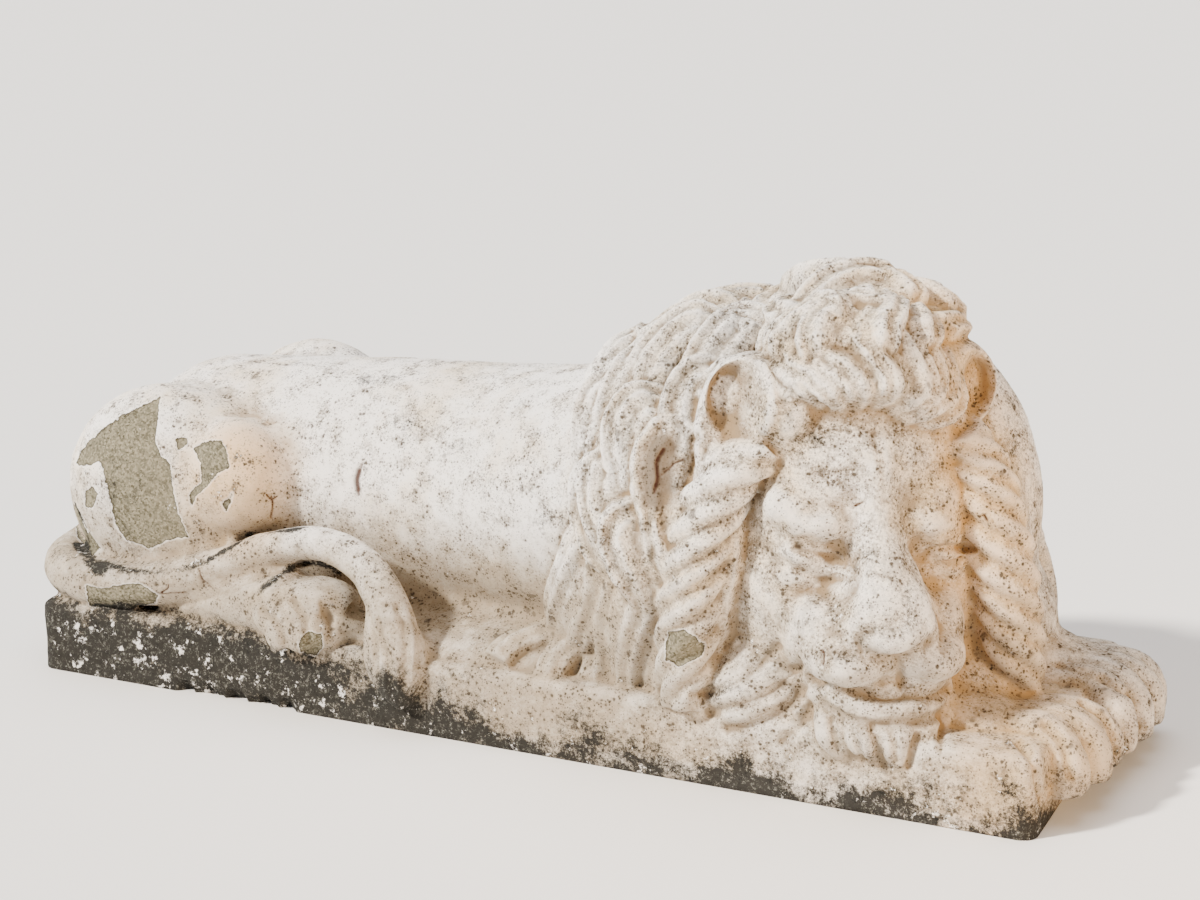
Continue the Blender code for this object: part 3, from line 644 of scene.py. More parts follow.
# %% Running lines through a tree
def grown(name, lines, tree, sizes=None):
    """The mesh that a tree makes of lines. A line has places, outward normals and half widths, and a hand."""
    points, edges, normals, widths, hands = [], [], [], [], []
    for line, hand in lines:
        edges += [(len(points) + i, len(points) + i + 1) for i in range(len(line) - 1)]
        points += [place(centre) for centre, _, _ in line]
        normals += [value for _, normal, _ in line for value in normal]
        widths += [width * SQUARE for _, _, width in line]
        hands += [hand] * len(line)
    mesh = bpy.data.meshes.new(name)
    mesh.from_pydata(points, edges, [])
    mesh.attributes.new("outwards", "FLOAT_VECTOR", "POINT").data.foreach_set("vector", normals)
    mesh.attributes.new("half_width", "FLOAT", "POINT").data.foreach_set("value", widths)
    mesh.attributes.new("winding", "FLOAT", "POINT").data.foreach_set("value", hands)
    thing = new_object(name, mesh)
    grow = thing.modifiers.new("grow", "NODES")
    grow.node_group = tree
    for item in tree.interface.items_tree:
        if item.in_out == "INPUT" and item.name in (sizes or {}):
            grow[item.identifier] = sizes[item.name]
    result = evaluated(thing)
    bpy.data.objects.remove(thing)
    print(name, "has", len(result.polygons), "faces")
    return result


# %% Growing the mane
hair_clay = bmesh.new()
hair_clay.from_mesh(flesh_skin)
for hand in (-1, 1):
    for name, locks, sizes in (
        ("mane", broad_locks, {"Rolled Edge": -0.55 * hand}),
        ("forelocks", slim_locks, {"Strands": 2.0, "Rolled Edge": 0.55 * hand, "Thickness": 1.0}),
        ("ruff", ruff_locks, {"Strands": 2.0, "Rolled Edge": 0.2 * hand}),
    ):
        # Locks of one hand go together, so that the rolled edge lies on the same side of them all
        of_hand = [lock for lock in locks if lock[1] == hand]
        hair_clay.from_mesh(grown(name, of_hand, hair_tree, sizes))

# %% Growing the twisted locks
COURSES = (
    (head(5.5, -9.6, 36), head(4.8, -13.4, 32.6), head(4.2, -16, 27), head(3.6, -17.4, 20),
     head(3.2, -18.2, 13), head(3.4, -18.4, 8)),
    (head(6.4, 10.4, 37), head(7.4, 12.2, 33), head(8.2, 13.4, 27), head(8.8, 14.4, 20),
     head(9, 15.2, 14), head(9, 15.8, 10)),
)
ROPE_STEPS, ROPE_WIDTH = 90, 3.3
ropes = []
for course, hand in zip(COURSES, (1, -1)):
    ropes.append(([
        (centre, FORWARDS, ROPE_WIDTH * (0.55 + 0.5 * math.sin(math.pi * (0.12 + i / ROPE_STEPS * 0.76))))
        for i, centre in enumerate(spline(course, ROPE_STEPS))
    ], hand))
hair_clay.from_mesh(grown("twisted_locks", ropes, rope_tree))

# %% [markdown]
# The beard under the lip and the short hair that flows from the jaws to the ground are only a few tapering
# clumps, so they are limbs again.

# %% Beard and jaw hair
for i in range(5):
    side = -5.2 + 2.6 * i
    forward = 16.4 - 0.12 * side * side
    limb(hair_clay, (
        (*head(forward - 3.4, side * 0.8, 11), 1.9, 1.7), (*head(forward - 0.6, side * 0.95, 9.4), 2.4, 2.0),
        (*head(forward + 0.4, side, 7.6), 2.1, 1.7),
        (*head(forward + 0.8, side * 1.06 + 0.6, 5.4 + i % 2), 0.6, 0.6),
    ), sides=14, samples=14, up=FORWARDS)
for side in (-1, 1):
    for i in range(5):
        low = 9.4 - 0.2 * i
        limb(hair_clay, (
            (*head(8.2 - 1.3 * i, (6.4 + 0.9 * i) * side, 14 + 1.5 * i), 1.0, 0.7),
            (*head(7.9 - 1.2 * i, (8.8 + 0.9 * i) * side, 12.4 + 1.2 * i), 1.5, 0.9),
            (*head(6.8 - 1.3 * i, (11.6 + 0.7 * i) * side, low + 1.6 + 0.7 * i), 1.5, 0.9),
            (*head(5.0 - 1.4 * i, (14.4 + 0.5 * i) * side, low - 0.6), 1.0, 0.7),
        ), sides=12, samples=14)

# %% [markdown]
# ## Plinth
#
# The plinth is a plain slab with rounded corners. It is beveled while it is still a box of six faces, then
# runs on a little below the ground, and the whole casting is cut off flat there afterwards, so the
# underside comes out as true as if it had been poured on a board.

# %% Slab
slab = bmesh.new()
size = Matrix.Diagonal((PLINTH_LENGTH, PLINTH_WIDTH, PLINTH_HEIGHT + BELOW_GROUND, 1))
middle = Matrix.Translation((0, 0, (PLINTH_HEIGHT - BELOW_GROUND) / 2))
bmesh.ops.create_cube(slab, size=1, matrix=middle @ size)
upright = [edge for edge in slab.edges if abs(edge.verts[0].co.z - edge.verts[1].co.z) > PLINTH_HEIGHT]
bmesh.ops.bevel(slab, geom=upright, offset=PLINTH_CORNER, segments=8, affect="EDGES", profile=0.5)
top_edges = [edge for edge in slab.edges if all(vert.co.z > PLINTH_HEIGHT - 1e-4 for vert in edge.verts)]
bmesh.ops.bevel(slab, geom=top_edges, offset=PLINTH_WORN_EDGE, segments=6, affect="EDGES", profile=0.5)
slab_mesh = bpy.data.meshes.new("slab")
slab.to_mesh(slab_mesh)
slab.free()
hair_clay.from_mesh(slab_mesh)

# %% One skin, cut off flat at the ground
casting_mesh = fused("casting", hair_clay, *CASTING_FUSING)
form = bmesh.new()
form.from_mesh(casting_mesh)
everything = form.verts[:] + form.edges[:] + form.faces[:]
bmesh.ops.bisect_plane(form, geom=everything, plane_co=(0, 0, 0), plane_no=(0, 0, 1), clear_inner=True)
rim = [edge for edge in form.edges if edge.is_boundary]
bmesh.ops.edgeloop_fill(form, edges=rim)
form.to_mesh(casting_mesh)
form.free()
print("casting has", len(casting_mesh.vertices), "points before the carving")

# %% [markdown]
# ## Carving into the skin
#
# What is too fine for clay shapes is pressed into the finished skin, as a sculptor does with a knife: the
# slits of the closed eyes, the mouth, the lines between the toes, and the damage. We hold all points and
# normals in arrays. A cut is a line over the surface with a width and a depth, and every point close to it
# moves inwards along its normal. That is much lighter than cutting with booleans, and it leaves no hard
# edges.

# %% The skin as arrays
def read(source, name):
    """A mesh's points or normals as an array with three columns."""
    values = np.empty(len(source) * 3, np.float32)
    source.foreach_get(name, values)
    return values.reshape(-1, 3).astype(float)


def write_points(mesh):
    """Puts the array of points into the mesh."""
    mesh.vertices.foreach_set("co", points.astype(np.float32).ravel())
    mesh.update()


seen = search_tree(casting_mesh)
points = read(casting_mesh.vertices, "co")
normals = read(casting_mesh.vertex_normals, "vector")
grounded = points[:, 2] < 1e-5


# %% Where a line of sight meets the stone
def at(x, y):
    """The place on the stone that is seen at a spot of the picture, or None where there is none."""
    found, _, _, _ = seen.ray_cast(EYE, sight(x, y))
    return found


def seen_line(spots, step=4):
    """A line over the stone through spots of the picture, as an array."""
    length = sum(math.dist(a, b) for a, b in zip(spots, spots[1:]))
    found = [at(*spot) for spot in spline(spots, max(2, round(length / step)))]
    return np.array([point for point in found if point is not None])


# %% Cutting
LEAP = 0.06  # a longer step has jumped over an edge of the form, and isn't followed


def distance_to(line, reach):
    """How far each point of the skin is from a line, up to reach."""
    nearest = np.full(len(points), reach)
    for a, b in zip(line, line[1:]):
        if np.linalg.norm(b - a) > LEAP:
            continue
        close = np.flatnonzero(np.all(
            (points > np.minimum(a, b) - reach) & (points < np.maximum(a, b) + reach), axis=1
        ))
        step = b - a
        along = np.clip((points[close] - a) @ step / max(step @ step, 1e-12), 0, 1)
        away = np.linalg.norm(points[close] - a - along[:, None] * step, axis=1)
        nearest[close] = np.minimum(nearest[close], away)
    return nearest


def cut(line, width, depth):
    """Presses a groove along a line. A negative depth raises a ridge."""
    share = 1 - distance_to(line, width) / width
    points[:] -= normals * (depth * share * share * (3 - 2 * share))[:, None]


def carve(*groups):
    """Cuts lines of the picture. A group is a width and a depth in metres, and the lines cut so."""
    for width, depth, *lines in groups:
        for spots in lines:
            cut(seen_line(spots), width, depth)


def dent(centre, radii, depth, way, wall=0.5):
    """Presses a cup of these radii, in metres, one way. Its wall takes this share of the radius."""
    away = np.linalg.norm((points - np.array(centre)) / np.array(radii), axis=1)
    share = np.clip((1 - away) / wall, 0, 1)
    bowl = 0.55 + 0.75 * np.clip(1 - away * away, 0, 1)
    points[:] += np.array(way) * (depth * bowl * share * share * (3 - 2 * share))[:, None]


# %% [markdown]
# ## The face and ears
#
# The large forms of the face are pressed and raised first: a hollow beside the bridge for each eye, the
# brows, the swelling of each closed lid, the flanks of the bridge. Then come the lines: each eye is a slit
# that curves down towards the nose, and the mouth is one long line that rises at the corners. Each ear is a
# cup whose hollow lies on its outer half, beside a full fold.

# %% Large forms of the face
INWARDS = -FORWARDS
carve(
    (0.028, 0.0060, [(812, 540), (832, 549), (848, 562), (850, 586)]),
    (0.022, 0.0045, [(916, 544), (928, 562), (938, 584), (944, 610)]),
    (0.026, -0.0085, [(778, 504), (792, 514), (808, 524), (828, 528)]),
    (0.016, -0.0020, [(932, 530), (950, 526), (968, 530)]),
    (0.014, -0.0040, [(800, 558), (816, 563), (834, 566)]),
    (0.012, -0.0025, [(946, 556), (960, 557), (972, 555)]),
    (0.030, -0.0040, [(878, 470), (882, 520), (884, 560), (882, 606)], [(788, 600), (806, 612), (826, 622)]),
    (0.014, 0.0034, [(846, 650), (872, 658), (900, 656), (928, 642)]),
)

# %% Lines that are cut now and get painted shade later
NEAR_EYE = [(796, 546), (808, 552), (824, 556), (842, 562)]
FAR_EYE = [(924, 560), (932, 552), (945, 548), (960, 547), (974, 547)]
FAR_LID = [(932, 563), (945, 564), (960, 562)]
CHEEK_FOLD = [(936, 606), (943, 628), (944, 650)]
NOSTRIL = [(862, 652), (858, 643), (862, 634), (872, 631)]
LIP_CLEFT = [(897, 657), (900, 672), (901, 691)]
LOWER_LIP = [(822, 703), (840, 714), (862, 722), (890, 724), (918, 721), (945, 714)]

# %% Eyes and furrows
carve(
    (0.007, 0.0060, FAR_EYE), (0.006, 0.0016, FAR_LID), (0.007, 0.0052, NEAR_EYE),
    (0.008, 0.0028, [(798, 569), (816, 577), (836, 579), (852, 574)], [(874, 432), (880, 460), (884, 500)]),
    (0.008, 0.0030, CHEEK_FOLD), (0.006, 0.0030, NOSTRIL), (0.007, 0.0036, LIP_CLEFT),
)

# %% Mouth, lip and beard
carve(
    (0.009, 0.0085, [
        (808, 680), (826, 683), (846, 690), (866, 694), (888, 697), (912, 695), (935, 697), (952, 689)
    ]),
    (0.008, 0.0034, LOWER_LIP),
    (0.007, 0.0045, [(831, 719), (833, 732), (838, 748)], [(873, 726), (877, 745), (883, 766)],
     [(917, 736), (913, 750), (909, 767)], [(941, 718), (942, 732), (941, 748)]),
    (0.006, 0.0035, [(850, 728), (856, 744), (862, 760)], [(893, 730), (895, 745), (896, 762)]),
)

# %% Cups of the ears
far_cup = place(head(6.6, 12.9 * EARS[1][0], EARS[1][1] + 0.2))
dent(far_cup, (0.055, 0.034, 0.046), 0.032, INWARDS, wall=0.62)
dent(at(733, 399), (0.044, 0.038, 0.074), 0.032, INWARDS, wall=0.68)
cut(seen_line([(762, 366), (769, 384), (769, 406), (762, 426)]), 0.016, -0.0060)

# %% Jaw hair, tuft and toes
carve(
    (0.010, 0.0050, [(802, 664), (776, 690), (742, 706), (708, 714)],
     [(806, 686), (786, 708), (756, 724), (728, 730)]),
    (0.009, 0.0045, [(778, 646), (752, 672), (722, 688), (694, 696)], [(812, 706), (800, 724), (782, 742)]),
    (0.009, 0.0035, [(378, 622), (384, 650), (392, 690)], [(398, 606), (406, 640), (404, 686)]),
    (0.008, 0.0030, [(364, 604), (374, 640), (376, 672)], [(412, 612), (420, 640), (418, 668)]),
    (0.006, 0.0022, [(120, 606), (170, 606), (220, 594), (262, 576), (310, 565)]),
    (0.008, 0.0050, [(262, 610), (276, 624), (284, 642)], [(292, 600), (304, 618), (308, 640)]),
    (0.008, 0.0045, [(322, 604), (330, 622), (330, 640)]),
    (0.010, 0.0060, [(1046, 724), (1064, 744), (1072, 776)], [(1020, 742), (1036, 762), (1042, 800)],
     [(1084, 702), (1108, 720), (1118, 752)], [(1104, 676), (1132, 696), (1142, 728)]),
    (0.010, 0.0030, [(1060, 664), (1090, 674), (1120, 690)]),
)

# %% [markdown]
# ## Worn edges
#
# The plinth has been knocked about. A strip of its front lower edge has broken away near the tail's tuft.
# The break is pressed in only close to the ground, and the underside stays flat.

# %% The broken lower edge
BREAK_FROM, BREAK_TO, BREAK_FADE = -0.405, -0.242, 0.012
BREAK_HEIGHT, BREAK_DEPTH, FRONT_FACE = 0.013, 0.016, -0.16
x, y, z = points.T
ragged = 0.62 + 0.24 * np.sin(x * 173 + 1) + 0.14 * np.sin(x * 431)
broken = np.clip(np.minimum(x - BREAK_FROM, BREAK_TO - x) / BREAK_FADE, 0, 1) * ragged
broken *= np.clip(1 - z / (BREAK_HEIGHT * ragged + 0.003), 0, 1) ** 0.5 * (y < FRONT_FACE)
points[:, 1] += BREAK_DEPTH * broken

# %% [markdown]
# ## Unevenness, and thinning
#
# Nothing on the casting is quite flat. Two Displace modifiers with procedural clouds press it in and out:
# one broad, as hand-modelled clay is, one fine, as limewash is over sand. Then Decimate thins the skin to
# what a shared part may weigh: flat places give up their points first and carved ones keep them.

# %% Back to a mesh, with unevenness
points[grounded, 2] = 0
write_points(casting_mesh)
casting = new_object("weathered_lion", casting_mesh)
held = casting.vertex_groups.new(name="above_ground")
held.add([int(i) for i in np.flatnonzero(~grounded)], 1.0, "REPLACE")
for name, size, strength in (("broad", 0.05, 0.0030), ("fine", 0.008, 0.0010)):
    clouds = bpy.data.textures.new(name, "CLOUDS")
    clouds.noise_scale = size
    clouds.noise_depth = 2
    uneven = casting.modifiers.new(name, "DISPLACE")
    uneven.texture = clouds
    uneven.strength = strength
    uneven.mid_level = 0.5
    uneven.vertex_group = "above_ground"

# %% Thinning
TRIANGLES = 172000
thin = casting.modifiers.new("thin", "DECIMATE")
thin.ratio = min(1.0, TRIANGLES / (2 * len(casting_mesh.polygons)))
thin.use_collapse_triangulate = True
thinned = evaluated(casting)
bpy.data.objects.remove(casting)
print("thinned to", len(thinned.polygons), "triangles")

# %% [markdown]
# ## Fitting it to the solid
#
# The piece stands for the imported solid, so it must fill the same box. We measure both and stretch the skin
# by the small difference, along each axis.

# %% The same box as the solid
points = read(thinned.vertices, "co")
low, high = points.min(axis=0), points.max(axis=0)
want_low, want_high = (np.array(corner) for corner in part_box(NODE))
print("box", low.round(4), high.round(4), "wanted", want_low.round(4), want_high.round(4))
points = (points - low) / (high - low) * (want_high - want_low) + want_low
write_points(thinned)

# %% [markdown]
# ## Marks of age, painted shade in the eye slits, and a finer skin where they run
#
# Paint has peeled off the haunch, the tail, a twisted lock and a paw, and it broke off along ragged
# outlines. Hair cracks run over the rump and the tail, a slit has opened in the flank, and lines of painted
# shade follow the slits of the closed eyes. Each mark is given as an outline or a line in the picture. A
# point of the skin belongs to it if it is seen there, so the mark bends over whatever form carries it. Such
# marks are sharper than the thinned skin can show, so its faces are split along their edges first.

# %% The outlines of the peeled patches
PEELED = (
    [(160, 397), (139, 406), (118, 418), (97, 433), (82, 449), (76, 464), (88, 466), (99, 461), (104, 478),
     (112, 508), (115, 527), (128, 541), (152, 549), (168, 540), (188, 537), (179, 516), (173, 492),
     (170, 464), (160, 455), (155, 440), (158, 420)],
    [(194, 448), (203, 442), (222, 440), (226, 451), (229, 467), (214, 476), (206, 487), (196, 496),
     (192, 507), (189, 494), (201, 482), (200, 464)],
    [(221, 503), (227, 499), (233, 492), (231, 503), (226, 512)],
    [(85, 585), (101, 588), (137, 583), (149, 589), (158, 596), (156, 603), (128, 610), (90, 606)],
    [(669, 632), (684, 630), (705, 644), (702, 655), (679, 667), (666, 660), (666, 640)],
    [(298, 640), (309, 632), (321, 634), (324, 645), (315, 655), (300, 652)],
    [(174, 439), (187, 437), (188, 444), (179, 450)], [(84, 492), (92, 486), (98, 494), (92, 508), (85, 506)],
    [(70, 500), (80, 512), (88, 530), (100, 548), (92, 556), (78, 536)],
)

# %% The lines of the cracks, and of painted shade in the eye slits
# Each row is a width in millimetres and the lines that have it
CRACK_AND_EYE_SLIT_LINES = (
    (1.4, [(165, 384), (176, 383), (189, 383)], [(165, 394), (176, 395), (191, 396)],
     [(272, 497), (273, 504), (271, 518)]),
    (1.0, [(267, 495), (272, 500), (277, 497)]), (1.2, [(199, 571), (202, 580), (211, 588), (219, 601)]),
    (1.1, [(167, 582), (167, 589), (158, 595)]), (0.9, [(158, 595), (172, 594), (186, 593)]),
    (2.0, [(361, 464), (358, 474), (356, 483), (358, 495)]), (6.5, [(358, 471), (356, 480), (357, 490)]),
    (1.1, [(855, 506), (865, 501), (876, 500)]), (1.6, [(822, 650), (823, 658), (822, 665)]),
    (3.2, [(664, 450), (658, 462), (659, 478), (655, 492)]), (1.6, [(663, 474), (674, 464), (684, 460)]),
    # The last three rows follow the slits of the closed eyes and a lid: their brown is painted shade
    (2.6, [(984, 516), (986, 521)]), (1.2, [(922, 560), (932, 552), (946, 549), (960, 549), (974, 548)]),
    (0.8, [(938, 562), (950, 560), (962, 556)]), (1.2, [(798, 546), (810, 551), (826, 555), (842, 560)]),
)


# %% Where points are seen, and how far they are inside an outline
PER_UNIT = LENS / (SENSOR / 2) * PICTURE[0] / 2
MARGIN = 8  # pixels outside an outline that still get their distance from it
SKIN_DEEP = 0.012  # how far behind the stone that is seen a point still counts as seen, in metres


def seen_from_eye(some):
    """Where points show in the picture, and how many pixels a metre takes there."""
    away = some - np.array(EYE)
    depth = -(away @ np.array(TOWARDS_EYE))
    wide = PICTURE[0] / 2 + away @ np.array(RIGHT) / depth * PER_UNIT
    high = PICTURE[1] / 2 - away @ np.array(ABOVE) / depth * PER_UNIT
    return np.stack((wide, high), axis=1), PER_UNIT / depth


def depth_inside(outline):
    """How far points are inside an outline of the picture, in metres, and negative outside."""
    spots, per_metre = seen_from_eye(points)
    result = np.full(len(points), -1.0)
    ring = np.array(outline, float)
    close = np.flatnonzero(
        np.all((spots > ring.min(axis=0) - MARGIN) & (spots < ring.max(axis=0) + MARGIN), axis=1)
    )
    visible = []
    for index in close:
        ray = Vector(points[index]) - EYE
        _, _, _, travelled = seen.ray_cast(EYE, ray.normalized())
        visible.append(travelled is not None and travelled > ray.length - SKIN_DEEP)
    close = close[np.array(visible, bool)]
    spot = spots[close]
    nearest, within = np.full(len(close), 1e9), np.zeros(len(close), bool)
    for a, b in zip(ring, np.roll(ring, -1, axis=0)):
        side = b - a
        along = np.clip((spot - a) @ side / (side @ side), 0, 1)
        nearest = np.minimum(nearest, np.linalg.norm(spot - a - along[:, None] * side, axis=1))
        crosses = (a[1] > spot[:, 1]) != (b[1] > spot[:, 1])
        meets = a[0] + (spot[:, 1] - a[1]) * side[0] / (side[1] if side[1] else 1e-9)
        within ^= crosses & (spot[:, 0] < meets)
    result[close] = np.where(within, nearest, -nearest) / per_metre[close]
    return result


def depth_in_peeled():
    """How far each point is inside the nearest peeled patch, in metres."""
    inside = np.full(len(points), -1.0)
    for outline in PEELED:
        inside = np.maximum(inside, depth_inside(outline))
    return inside


# %% Splitting faces where marks run
PEEL_BAND, CRACK_BAND = 0.004, 0.005  # how far from a mark's edge faces are split, in metres
crack_and_slit_lines = [(seen_line(spots, step=2), width / 1000) for width, *lines in CRACK_AND_EYE_SLIT_LINES for spots in lines]
near_mark = np.abs(depth_in_peeled()) < PEEL_BAND
for line, width in crack_and_slit_lines:
    near_mark |= distance_to(line, CRACK_BAND + 0.001 + width) < CRACK_BAND + width
form = bmesh.new()
form.from_mesh(thinned)
form.verts.ensure_lookup_table()
flagged = set(np.flatnonzero(near_mark).tolist())
split = [edge for edge in form.edges if any(vert.index in flagged for vert in edge.verts)]
bmesh.ops.subdivide_edges(form, edges=split, cuts=2, use_grid_fill=True)
bmesh.ops.triangulate(form, faces=[face for face in form.faces if len(face.verts) > 3])
form.to_mesh(thinned)
form.free()
print("split", len(split), "edges, and now", len(thinned.polygons), "triangles")

# %% Pressing the marks in
PEEL_DEPTH, CRACK_DEPTH, CRACK_EDGE = 0.0014, 0.0034, 0.0012
points = read(thinned.vertices, "co")
normals = read(thinned.vertex_normals, "vector")


def ramp(values, low, high):
    """0 below low, 1 above high, and smooth between them."""
    share = np.clip((values - low) / (high - low), 0, 1)
    return share * share * (3 - 2 * share)


peeled_depth = depth_in_peeled()
points -= normals * (PEEL_DEPTH * ramp(peeled_depth, -0.0004, 0.0012))[:, None]
cracks_and_slit_shade = np.zeros(len(points))
for line, width in crack_and_slit_lines:
    share = 1 - distance_to(line, CRACK_EDGE + width) / (CRACK_EDGE + width)
    cracks_and_slit_shade = np.maximum(cracks_and_slit_shade, share)
points -= normals * (CRACK_DEPTH * cracks_and_slit_shade ** 1.3)[:, None]
write_points(thinned)
thinned.shade_smooth()

# %% [markdown]
# ## What the finish needs to know
#
# Dirt and painted shade lie in hollows, the lower half and the undersides are darker with soil and painted
# shade, and lichen climbs from the ground. So each point gets a few numbers that the material can read.
# Hollowness is worked out by smoothing a copy of the skin and looking which way each point moved.

# %% Hollows and ridges
normals = read(thinned.vertex_normals, "vector")
edges = np.empty(len(thinned.edges) * 2, np.int32)
thinned.edges.foreach_get("vertices", edges)
edges = edges.reshape(-1, 2)
meeting = np.bincount(edges.ravel(), minlength=len(points))


def smoothed(values, rounds):
    """Values averaged with their neighbours along the edges."""
    values = values.copy()
    for _ in range(rounds):
        for column in range(values.shape[1]):
            total = np.bincount(edges[:, 0], values[edges[:, 1], column], len(points))
            total += np.bincount(edges[:, 1], values[edges[:, 0], column], len(points))
            values[:, column] = (values[:, column] + total / meeting) / 2
    return values


def hollowness(rounds):
    """How far smoothing lifts each point out of the skin, with 1 for the deepest twentieth."""
    lifted = ((smoothed(points, rounds) - points) * normals).sum(axis=1)
    return lifted / np.percentile(lifted, 95)


NARROW_ROUNDS, WIDE_ROUNDS = 8, 60
hollow, wide_hollow = hollowness(NARROW_ROUNDS), hollowness(WIDE_ROUNDS)
for name, values in (("hollow", hollow), ("wide_hollow", wide_hollow)):
    print(name, "at the 5th, 25th and 75th hundredth", np.percentile(values, (5, 25, 75)).round(2))

# %% Painted shade in the carved lines of the face, and dirt in one crack
# Each row is how far the darkening reaches in metres, how hollow the line counts as, and the line
for reach, most, spots in (
    (0.0036, 1.3, [
        (812, 681), (830, 684), (846, 690), (866, 694), (888, 697), (912, 695), (935, 697), (950, 690)
    ]),
    (0.0030, 1.3, FAR_EYE), (0.0030, 1.2, NEAR_EYE), (0.0024, 0.8, FAR_LID), (0.0030, 0.9, NOSTRIL),
    (0.0030, 0.8, LIP_CLEFT), (0.0034, 0.8, LOWER_LIP), (0.0030, 0.6, CHEEK_FOLD),
    (0.0100, 1.5, [(662, 450), (658, 468), (658, 494)]),
):
    near = 1 - distance_to(seen_line(spots), 2.5 * reach) / (2.5 * reach)
    hollow = np.where(near > 0, np.maximum(hollow, most * ramp(near, 0.0, 0.75)), hollow)

# %% Grime near the ground, and a darkening along three lines low on the haunch
x, y, z = points.T
# It climbs to 9 cm at the rump and to 4 cm at the paws, and thins out over 5 cm
top_of_grime = 0.090 - 0.050 * ramp(x, -0.4, 0.15)
grime = 0.6 + (top_of_grime - z) / 0.05
grime = np.clip(grime, 0, 1.3) * (0.68 + 0.32 * ramp(-x, -0.1, 0.4))
# Each row is how far the darkening reaches from a line in metres, how strong it is, and the line
for reach, most, spots in (
    (0.005, 0.8, [(75, 505), (86, 535), (98, 560), (150, 572), (200, 563), (250, 536), (300, 528)]),
    (0.010, 1.15, [(80, 545), (90, 560), (102, 568)]),
    (0.006, 0.85, [(262, 590), (285, 570), (318, 563), (345, 572)]),
):
    near = 1 - distance_to(seen_line(spots), 1.6 * reach) / reach
    grime = np.maximum(grime, most * ramp(near, -0.6, 0.7))

# %% Painted warm light and an ochre stain, plainness, and soil with painted shade
# Painted warm light on the forepaws and to the right of the face, and an ochre stain beside the peeled haunch
from_face = (points - np.array(place(head(8, 2, 20)))) @ np.array(SIDEWAYS)
warm_light_right_of_face = ramp(from_face, 0.0, 0.07) * ramp(x, 0.2, 0.3)
warm = np.maximum(ramp(x, 0.46, 0.62), warm_light_right_of_face) * ramp(-y, -0.12, 0.1)
beside_haunch = np.linalg.norm((points - np.array(at(232, 476))) / (0.08, 0.09, 0.12), axis=1)
warm += 1.5 * ramp(1.2 - beside_haunch, 0.0, 0.9)
# Behind the mane the back and the flank are plain
plain = (1 - ramp(x, 0.02, 0.14)) * ramp(z, 0.13, 0.24)
# Soil and painted shade darken the lower half, less so at the front, and painted shade lies under what hangs
# over
soil_and_underside_shade = 0.85 * ramp(0.27 - z, 0.0, 0.15) * (1 - 0.5 * ramp(x, 0.1, 0.3))
# Surfaces that face down get painted shade
soil_and_underside_shade += 0.4 * ramp(-normals[:, 2], -0.3, 0.6)

# %% Kept on the skin for the material
marks = {
    "hollow": hollow, "wide_hollow": wide_hollow, "peeled": peeled_depth * 1000, "cracks_and_slit_shade": cracks_and_slit_shade,
    "grime": grime, "warm": warm, "plain": plain, "soil_and_underside_shade": soil_and_underside_shade,
}
for name, values in marks.items():
    thinned.attributes.new(name, "FLOAT", "POINT").data.foreach_set("value", values.astype(np.float32))

# %% [markdown]
# ## The finish: limewash on sandy cast stone
#
# Limewash is lime and water brushed on in many thin coats. It is chalky, without gloss, nearly white where
# it is new and cream where it is old. Under it is concrete of fine sand, grey with an olive cast. Black
# lichen starts as specks of one or two millimetres all over the coat, and joins into a crust near the
# ground. Every pattern below is given by the real size of what it shows, and reads the casting's own
# coordinates, so that it stays in the stone from every side.

# %% Colours
def colour(code):
    """An sRGB hex colour as linear numbers."""
    values = [int(code[i:i + 2], 16) / 255 for i in (1, 3, 5)]
    return [v / 12.92 if v < 0.04045 else ((v + 0.055) / 1.055) ** 2.4 for v in values] + [1]


# The dirty lime is dirt and also painted shade in hollows; the new white also paints highlights on ridges and
# rims
LIME_WHITE_AND_HIGHLIGHT, LIME_OLD, LIME_DIRT_AND_SHADE = colour("#fffcf8"), colour("#e7d4b5"), colour("#75695a")
SAND_PALE, SAND_DARK, SAND_EDGE_SHADE = colour("#938d78"), colour("#454233"), colour("#2c281e")
LICHEN, CRUST_DARK, CRUST_PALE = colour("#453c32"), colour("#191a19"), colour("#919189")
OCHRE_STAIN_WARM_LIGHT_AND_SHADE, SOIL_AND_SHADE_GREY, CRACK_AND_SLIT_SHADE_BROWN = colour("#ddb06a"), colour("#9a8d79"), colour("#42231a")

# %% The material, its coordinates, and what the skin carries
stone = bpy.data.materials.new("limewashed_cast_stone_weathered")
stone.use_nodes = True
nodes = stone.node_tree
shader = nodes.nodes["Principled BSDF"]
shader.inputs["Metallic"].default_value = 0
shader.inputs["IOR"].default_value = 1.5
shader.inputs["Specular IOR Level"].default_value = 0.2
where = add(nodes, "ShaderNodeTexCoord").outputs["Object"]
known = {name: add(nodes, "ShaderNodeAttribute", attribute_name=name).outputs["Fac"] for name in marks}

# %% Patterns of noise
# Each has a size in millimetres, a number of finer layers, and how strong they are
PATTERNS = {
    "clouds": (90, 5, 0.6), "blots": (70, 8, 0.72), "broad": (22, 3, 0.6), "chalk": (22, 6, 0.75),
    "ragged": (12, 5, 0.65), "flecks": (4.8, 6, 0.9), "mottle": (3.3, 5, 0.8), "fine": (2.4, 3, 0.7),
}
for name, (size, layers, strength) in PATTERNS.items():
    known[name] = add(nodes, "ShaderNodeTexNoise", {
        "Vector": where, "Scale": 1000 / size, "Detail": layers, "Roughness": strength
    })

# %% [markdown]
# Few coats follow one pattern alone. The smooth flank, for instance, is less clouded and less mottled than
# the rest, so a little of its plainness is taken from both patterns. Each value below is one that is known,
# times a weight, with another added.

